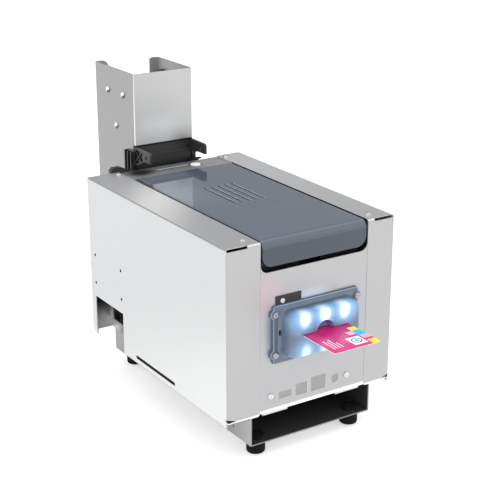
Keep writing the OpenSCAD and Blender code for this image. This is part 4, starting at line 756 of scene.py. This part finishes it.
def bezelPlastic(name, look, lit=True):
    mat, shader = newFinish(name, look["rough"])
    place = millimetres(mat)
    y = place[1]
    broad = grain(mat, look["sheenScale"], detail=2.0)
    base = mixTone(mat, remap(mat, broad, *noiseBand, 0.0, look["sheenShare"]), look["body"], look["sheen"])
    feed(mat, shader, {"Coat Weight": look["coat"]})
    relief(mat, shader, broad, strength=0.05, depth=0.0001, edge=0.0004)
    if not lit:
        paint(mat, shader, base)
        return mat
    # painted shade on faces turned up, painted highlights on the edges, painted black shade in the notch and
    # the slot, and a dim scoop
    rim = anyOf(mat, bendMask(mat, 1, 2), allOf(mat, bendMask(mat, 0, 1), look["sideEdge"]))
    fromScoop = distanceTo(mat, place, (look["scoopAt"][0], None, look["scoopAt"][1]))
    scoop = allOf(mat, remap(mat, fromScoop, *look["scoopFade"]), remap(mat, y, *look["scoopDepth"]))
    dark = anyOf(mat, boxMask(mat, place, *look["notchShade"]), boxMask(mat, place, *look["lipsShade"]))
    paint(mat, shader, overlay(
        mat, base, (look["upper"], remap(mat, lean(mat, upward), *look["upperTurn"])),
        (look["edge"], rim, remap(mat, y, *look["edgeDepth"])), (look["mouth"], scoop), (look["dark"], dark)))
    # light of each diode, strongest straight in front of it
    halo = core = 0.0
    for i in (-1, 0, 1):
        for rowZ, gain, shift in look["rows"]:
            diode = (look["middle"] + shift + i * look["pitch"], None, rowZ)
            wide = distanceTo(mat, place, diode, look["haloStretch"])
            tight = distanceTo(mat, place, diode, look["coreStretch"])
            halo = anyOf(mat, halo, allOf(mat, remap(mat, wide, *look["haloFade"]), gain))
            core = anyOf(mat, core, allOf(mat, remap(mat, tight, *look["coreFade"]), gain))
    dome = allOf(mat, boxMask(mat, place, *look["dome"], look["domeSoft"]), remap(mat, y, *look["domeDepth"]))
    wall = allOf(mat, dome, calc(mat, "ADD", halo, look["leastGlow"]))
    near = allOf(mat, core, remap(mat, y, *look["coreDepth"]))
    power = allOf(mat, calc(mat, "ADD", near, wall), noneOf(mat, scoop, dark))
    glow(mat, shader, power, mixTone(mat, core, look["glow"], look["core"]))
    return mat


bezelShell = buildBezel(bezelLook)
wear(bezelShell, bezelPlastic("bezelPlastic", bezelLook))
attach(bezelShell, "housing")
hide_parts("bezel")
dress("bezel_gasket", bezelPlastic("gasketPlastic", bezelLook, False))

diodeLook = {"tones": (tone(235, 245, 255), tone(255)), "light": (0.8, 0.92, 1.0, 1.0), "power": 2.0}


def diodeLight(look):
    mat, shader = newFinish("diodeLight", 0.2)
    paint(mat, shader, mixTone(mat, grain(mat, 500), *look["tones"]))
    glow(mat, shader, look["power"], look["light"])
    return mat


dress("leds", diodeLight(diodeLook))
print("bezel done")

# printed card: plain bands, blocks and rings, in millimetres from its right front corner
cardLook = {
    "deep": tone(186, 14, 102), "light": tone(226, 50, 132), "fade": (-66, -18),
    "cyan": tone(30, 200, 235), "yellow": tone(252, 236, 50), "pink": tone(252, 180, 215), "white": tone(254),
    "front": -69.5, "left": 74.3, "right": 128.3,
    "blocks": (((-9, 0), (0, 10), "yellow"), ((-9, 0), (14, 22), "pink"), ((-9, 0), (22, 34), "cyan"),
               ((-9, 0), (34, 42), "yellow"), ((-17, -9), (26, 34), "pink"), ((-26, -11), (5, 22), "white")),
    "ringAt": (-18.5, 13.5), "ring": tone(60, 60, 66), "ringRadii": (4.2, 5.4), "dotRadius": 2.4,
    "rules": (20, 17, 21, 12), "ruleFirst": (6, 8), "rulePitch": 3.2, "ruleWidth": 1.1, "ruleShare": 0.85,
    "core": tone(250), "coreZ": (85.95, 85.6), "glow": 0.3, "specular": 0.3, "rough": 0.25,
    "speck": tone(255), "speckScale": 700, "speckBand": (0.4, 0.8, 0.0, 0.04),
}


def cardPrint(look):
    mat, shader = newFinish("cardPrint", look["rough"])
    place = millimetres(mat)
    y, z = place[1:]
    left, right, front = look["left"], look["right"], look["front"]
    base = mixTone(mat, remap(mat, y, *look["fade"]), look["light"], look["deep"])
    for (x0, x1), (y0, y1), name in look["blocks"]:
        block = boxMask(mat, place, (right + x0, right + x1), (front + y0, front + y1))
        base = mixTone(mat, block, base, look[name])
    # a ring and a dot on the white field
    fromRing = distanceTo(mat, place, (right + look["ringAt"][0], front + look["ringAt"][1], None))
    base = overlay(mat, base, (look["ring"], inside(mat, fromRing, *look["ringRadii"])),
                   (look["cyan"], inside(mat, fromRing, -1, look["dotRadius"])))
    # thin rules on the left half
    ruleX, ruleY = left + look["ruleFirst"][0], front + look["ruleFirst"][1]
    for k, length in enumerate(look["rules"]):
        start = ruleX + k * look["rulePitch"]
        rule = boxMask(mat, place, (start, start + look["ruleWidth"]), (ruleY, ruleY + length))
        base = overlay(mat, base, (look["white"], rule, look["ruleShare"]))
    # the print lies on the upper face only
    speck = grain(mat, look["speckScale"])
    base = overlay(mat, base, (look["core"], remap(mat, z, *look["coreZ"])),
                   (look["speck"], remap(mat, speck, *look["speckBand"])))
    paint(mat, shader, base)
    # painted light: the print gives off a little light in its own colour
    glow(mat, shader, look["glow"], base)
    feed(mat, shader, {"Specular IOR Level": look["specular"]})
    relief(mat, shader, speck, strength=0.02, depth=0.00003, edge=0.0002)
    return mat


# the stack is one solid, so its material draws the seam between each two cards
stackLook = {"low": tone(243), "high": tone(250), "seam": tone(120), "seamShare": 0.6,
             "seamFades": ((0.88, 0.98), (0.1, 0.0)), "bottom": 85.32, "cardThick": 0.76}


def stackedCards(look):
    mat, shader = newFinish("stackedCards", 0.35)
    fromBottom = calc(mat, "SUBTRACT", millimetres(mat)[2], look["bottom"])
    step = calc(mat, "FRACT", calc(mat, "DIVIDE", fromBottom, look["cardThick"]))
    seam = anyOf(mat, *(remap(mat, step, *fade) for fade in look["seamFades"]))
    base = mixTone(mat, remap(mat, grain(mat, 900), *noiseBand), look["low"], look["high"])
    paint(mat, shader, mixTone(mat, allOf(mat, seam, look["seamShare"]), base, look["seam"]))
    relief(mat, shader, noneOf(mat, seam), strength=0.4, depth=0.0001, edge=0.0002)
    return mat


dress("printed_card", cardPrint(cardLook))
dress("card_stack", stackedCards(stackLook))
print("cards done")

circuitLook = {
    "mask": (tone(18, 78, 46), tone(22, 92, 54)), "track": tone(60, 130, 80), "pad": tone(190, 180, 120),
    "scale": 220, "trackWidth": 0.06, "padScale": 500, "padFade": (0.62, 0.7), "rough": 0.35,
}


def circuitBoard(look):
    mat, shader = newFinish("circuitBoard", look["rough"])
    tracks = newNode(mat, "TexBrick")
    feed(mat, tracks, {"Vector": objectPlace(mat), "Scale": look["scale"], "Mortar Size": look["trackWidth"],
                       "Color1": look["mask"][0], "Color2": look["mask"][1], "Mortar": look["track"]})
    pads = remap(mat, grain(mat, look["padScale"]), *look["padFade"])
    paint(mat, shader, mixTone(mat, pads, tracks.outputs["Color"], look["pad"]))
    relief(mat, shader, tracks.outputs["Fac"], strength=0.2, depth=0.00008, edge=0.0003)
    return mat


# turned and milled metal: darker and lighter tone, roughness
turnedFinishes = {
    "brassFinish": {"tones": (tone(190, 150, 80), tone(215, 180, 110)), "rough": 0.25,
                    "nodes": "bushes motor_pinion"},
    "brightSteel": {"tones": (tone(205, 206, 208), tone(240, 240, 242)), "rough": 0.2, "nodes": "hinge_pins"},
    "dullSteel": {"tones": (tone(165), tone(190)), "rough": 0.35, "nodes": ""},
    "headMetal": {"tones": (tone(120, 122, 126), tone(160, 162, 165)), "rough": 0.35, "nodes": "print_head"},
}


def turnedMetal(name, low, high, rough):
    mat, shader = newFinish(name, rough, 1.0)
    rings = grain(mat, 60, (8, 8, 8), detail=5.0)
    paint(mat, shader, mixTone(mat, remap(mat, rings, *noiseBand), low, high))
    feed(mat, shader, {"Roughness": remap(mat, rings, *wideBand, rough - 0.08, rough + 0.08)})
    relief(mat, shader, rings, strength=0.08, depth=0.00005, edge=0.0003)
    return mat


rivetLook = {
    "low": tone(232), "high": tone(244), "shade": tone(96), "rough": 0.25, "metal": 0.7,
    "under": (0.0, -0.5, -0.86), "underFade": (0.15, 0.42), "edgeX": (63.5, 64.2),
    "upper": (-0.8, -0.1, 0.6), "upperFade": (0.7, 0.95), "upperGlow": 0.25,
}


def rivetSteel(look):
    mat, shader = newFinish("rivetSteel", look["rough"], look["metal"])
    x = millimetres(mat)[0]
    # shade under the head and round its edge, light on its upper left
    under = remap(mat, lean(mat, look["under"]), *look["underFade"])
    shade = anyOf(mat, under, remap(mat, x, *look["edgeX"]))
    fine = grain(mat, 400)
    base = mixTone(mat, remap(mat, fine, *noiseBand), look["low"], look["high"])
    paint(mat, shader, mixTone(mat, shade, base, look["shade"]))
    glow(mat, shader, allOf(mat, remap(mat, lean(mat, look["upper"]), *look["upperFade"]), look["upperGlow"]))
    relief(mat, shader, fine, strength=0.05, depth=0.00005, edge=0.0003)
    return mat


metals = {}
for name, look in turnedFinishes.items():
    metals[name] = turnedMetal(name, *look["tones"], look["rough"])
    dress(look["nodes"], metals[name])
dress("tower_rivets", rivetSteel(rivetLook))
dress("interface_board led_board main_board", circuitBoard(circuitLook))
print("metals done")

# screws with a cross recess, in place of the plain heads
screwFinishes = {"steel": (metals["brightSteel"], "screw_steel"),
                 "dull": (metals["dullSteel"], "screw_steel"),
                 "white": (plastics["whitePlastic"], "white_plastic")}
earScrews = [(pathX + side * bezelLook["earX"], -4.6, z) for side in (-1, 1) for z in bezelLook["earZ"]]
screwLook = {
    "bezel_screws": {"radius": 3.0, "height": 1.3, "way": "front", "finish": "dull", "at": earScrews},
    "front_screws": {"radius": 3.2, "height": 1.9, "way": "front", "finish": "steel",
                     "at": [(50.4, 0, 20.6), (142.0, 0, 20.6)]},
    "tag_screw": {"radius": 2.4, "height": 1.2, "way": "front", "finish": "white",
                  "at": [(62.9, -0.8, 118.1)]},
    "deck_screws": {"radius": 2.8, "height": 1.8, "way": "up", "finish": "steel",
                    "at": [(28.0, 14.8, 180), (33.3, 271.8, 180), (175.5, 14.4, 180), (169.7, 271.2, 180)]},
}
# shares of the head's radius and height: its crown, and the arms, width, depth and taper of the cross
crossLook = {"crown": 0.55, "rim": 0.35, "arm": 0.5, "half": 0.13, "deep": 0.55, "taper": 0.6, "sink": 0.05}


def crossHead(name, radius, height, look, rings=5, sides=32):
    mesh = bpy.data.meshes.new(name)
    bm = bmesh.new()
    turns = [2 * math.pi * i / sides for i in range(sides)]

    def ring(r, z):
        return [bm.verts.new((r * math.cos(t), r * math.sin(t), z)) for t in turns]

    loops = []
    for k in range(rings + 1):
        a = math.radians(90 * k / rings)
        loops.append(ring(radius * (look["crown"] + (1 - look["crown"]) * math.cos(a)),
                          height * (look["rim"] + (1 - look["rim"]) * math.sin(a))))
    loops.insert(0, ring(radius, -look["sink"]))
    for low, high in zip(loops, loops[1:]):
        for i in range(sides):
            bm.faces.new((low[i], low[(i + 1) % sides], high[(i + 1) % sides], high[i]))
    # the recess: a cross that tapers down from the crown
    arm, half, deep = radius * look["arm"], radius * look["half"], height * look["deep"]
    outline = [(arm, -half), (arm, half), (half, half), (half, arm), (-half, arm), (-half, half),
               (-arm, half), (-arm, -half), (-half, -half), (-half, -arm), (half, -arm), (half, -half)]
    rim = [bm.verts.new((x, y, height)) for x, y in outline]
    low = [bm.verts.new((x * look["taper"], y * look["taper"], height - deep)) for x, y in outline]
    for i in range(len(outline)):
        bm.faces.new((rim[i], rim[(i + 1) % len(outline)], low[(i + 1) % len(outline)], low[i]))
    bm.faces.new(low[::-1])
    crown = [e for e in bm.edges if e.is_boundary and all(abs(v.co.z - height) < 1e-6 for v in e.verts)]
    bmesh.ops.triangle_fill(bm, edges=crown, use_beauty=True)
    bmesh.ops.recalc_face_normals(bm, faces=bm.faces)
    for face in bm.faces:
        face.smooth = True
    bmesh.ops.scale(bm, vec=(0.001, 0.001, 0.001), verts=bm.verts)
    bm.to_mesh(mesh)
    bm.free()
    return mesh


for node, look in screwLook.items():
    finish, slotName = screwFinishes[look["finish"]]
    mesh = crossHead(node + "Head", look["radius"], look["height"], crossLook)
    mesh.materials.append(finish)
    for k, place in enumerate(look["at"]):
        head = addObject("%sHead%d" % (node.replace("_", ""), k), mesh)
        turn = Matrix.Rotation(math.radians(random.uniform(0, 90)), 4, "Z")
        tilt = Matrix.Rotation(math.radians(90), 4, "X") if look["way"] == "front" else Matrix.Identity(4)
        head.matrix_world = Matrix.Translation(at(*place)) @ tilt @ turn
        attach(head, "housing")
        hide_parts(node)
print("screws done")

# floor, light and camera, in metres
studio = {
    "ambient": 0.86, "floorSpan": 12.0, "floorDrop": 0.0002, "floorLift": 0.5,
    "floorTones": (tone(250), tone(252)),
    "lamps": {"keyLight": {"place": (-2.2, -0.6, 1.6), "power": 5.0},
              "fillLight": {"place": (1.4, -2.0, 1.4), "power": 2.0}},
    "lampSize": 1.6, "lampAim": (0, 0, 0.15),
    "boardPlace": (1.9, 2.9, 1.3), "boardAim": (0, 0, 0.2), "boardSize": (6.0, 3.6),
    "boardTones": (tone(0), tone(2)), "boardGray": 0.315,
}
cameraLook = {
    "angle": 22.418, "azimuth": -33.1498, "elevation": 19.5477, "roll": 0.0559,
    "placeMm": (-570.052, -913.394, 562.924),
}


# 1 for what the camera sees, directly, in a reflection or through glass
def seenDirectly(owner):
    path = newNode(owner, "LightPath")
    rays = ("Is Camera Ray", "Is Glossy Ray", "Is Transmission Ray")
    return anyOf(owner, *(path.outputs[ray] for ray in rays))


# the rotation that points a lamp or board at a place, along its own z axis or against it
def aimAt(place, aim, axis):
    return (Vector(aim) - Vector(place)).to_track_quat(axis, "Y").to_euler()


def flatSheet(name, width, depth, mat):
    mesh = bpy.data.meshes.new(name)
    w, d = width / 2, depth / 2
    mesh.from_pydata([(-w, -d, 0), (w, -d, 0), (w, d, 0), (-w, d, 0)], [], [(0, 1, 2, 3)])
    mesh.materials.append(mat)
    return addObject(name, mesh)


world = bpy.data.worlds.new("studioAir")
bpy.context.scene.world = world
world.use_nodes = True
background = world.node_tree.nodes["Background"]
air = remap(world, seenDirectly(world), 0.0, 1.0, studio["ambient"], 1.0, smooth=False)
feed(world, background, {"Color": (1, 1, 1, 1), "Strength": air})

floorPaint, floorShader = newFinish("floorPaint", 0.9)
paint(floorPaint, floorShader, mixTone(floorPaint, grain(floorPaint, 3), *studio["floorTones"]))
lift = remap(floorPaint, seenDirectly(floorPaint), 0.0, 1.0, 0.0, studio["floorLift"], smooth=False)
glow(floorPaint, floorShader, lift)
floor = flatSheet("studioFloor", studio["floorSpan"], studio["floorSpan"], floorPaint)
floor.location.z = -studio["floorDrop"]

for name, look in studio["lamps"].items():
    lamp = bpy.data.lights.new(name, "AREA")
    lamp.shape = "RECTANGLE"
    lamp.size = lamp.size_y = studio["lampSize"]
    lamp.energy = look["power"]
    holder = addObject(name, lamp)
    holder.location = look["place"]
    holder.rotation_euler = aimAt(look["place"], studio["lampAim"], "-Z")
    holder.visible_camera = False

# a gray board behind the object, seen only in glossy reflections
boardPaint, boardShader = newFinish("boardPaint", 1.0)
paint(boardPaint, boardShader, mixTone(boardPaint, grain(boardPaint, 2), *studio["boardTones"]))
feed(boardPaint, boardShader, {"Specular IOR Level": 0.0})
glow(boardPaint, boardShader, studio["boardGray"])
board = flatSheet("reflectionBoard", *studio["boardSize"], boardPaint)
board.location = studio["boardPlace"]
board.rotation_euler = aimAt(studio["boardPlace"], studio["boardAim"], "Z")
board.visible_camera = board.visible_diffuse = board.visible_transmission = board.visible_shadow = False

cameraData = bpy.data.cameras.new("frontCamera")
cameraData.sensor_width = 36.0
cameraData.angle = math.radians(cameraLook["angle"])
cameraData.clip_end = 50
camera = addObject("frontCamera", cameraData)
az, el, roll = (math.radians(cameraLook[key]) for key in ("azimuth", "elevation", "roll"))
back = Vector((math.sin(az) * math.cos(el), -math.cos(az) * math.cos(el), math.sin(el)))
right = Vector((0, 0, 1)).cross(back).normalized()
up = back.cross(right)
rightTurned = right * math.cos(roll) + up * math.sin(roll)
upTurned = up * math.cos(roll) - right * math.sin(roll)
turned = Matrix((rightTurned, upTurned, back)).transposed().to_4x4()
camera.matrix_world = Matrix.Translation(at(*cameraLook["placeMm"])) @ turned
bpy.context.scene.camera = camera
bpy.context.scene.view_settings.view_transform = "Standard"
print("studio done")

bpy.context.view_layer.update()
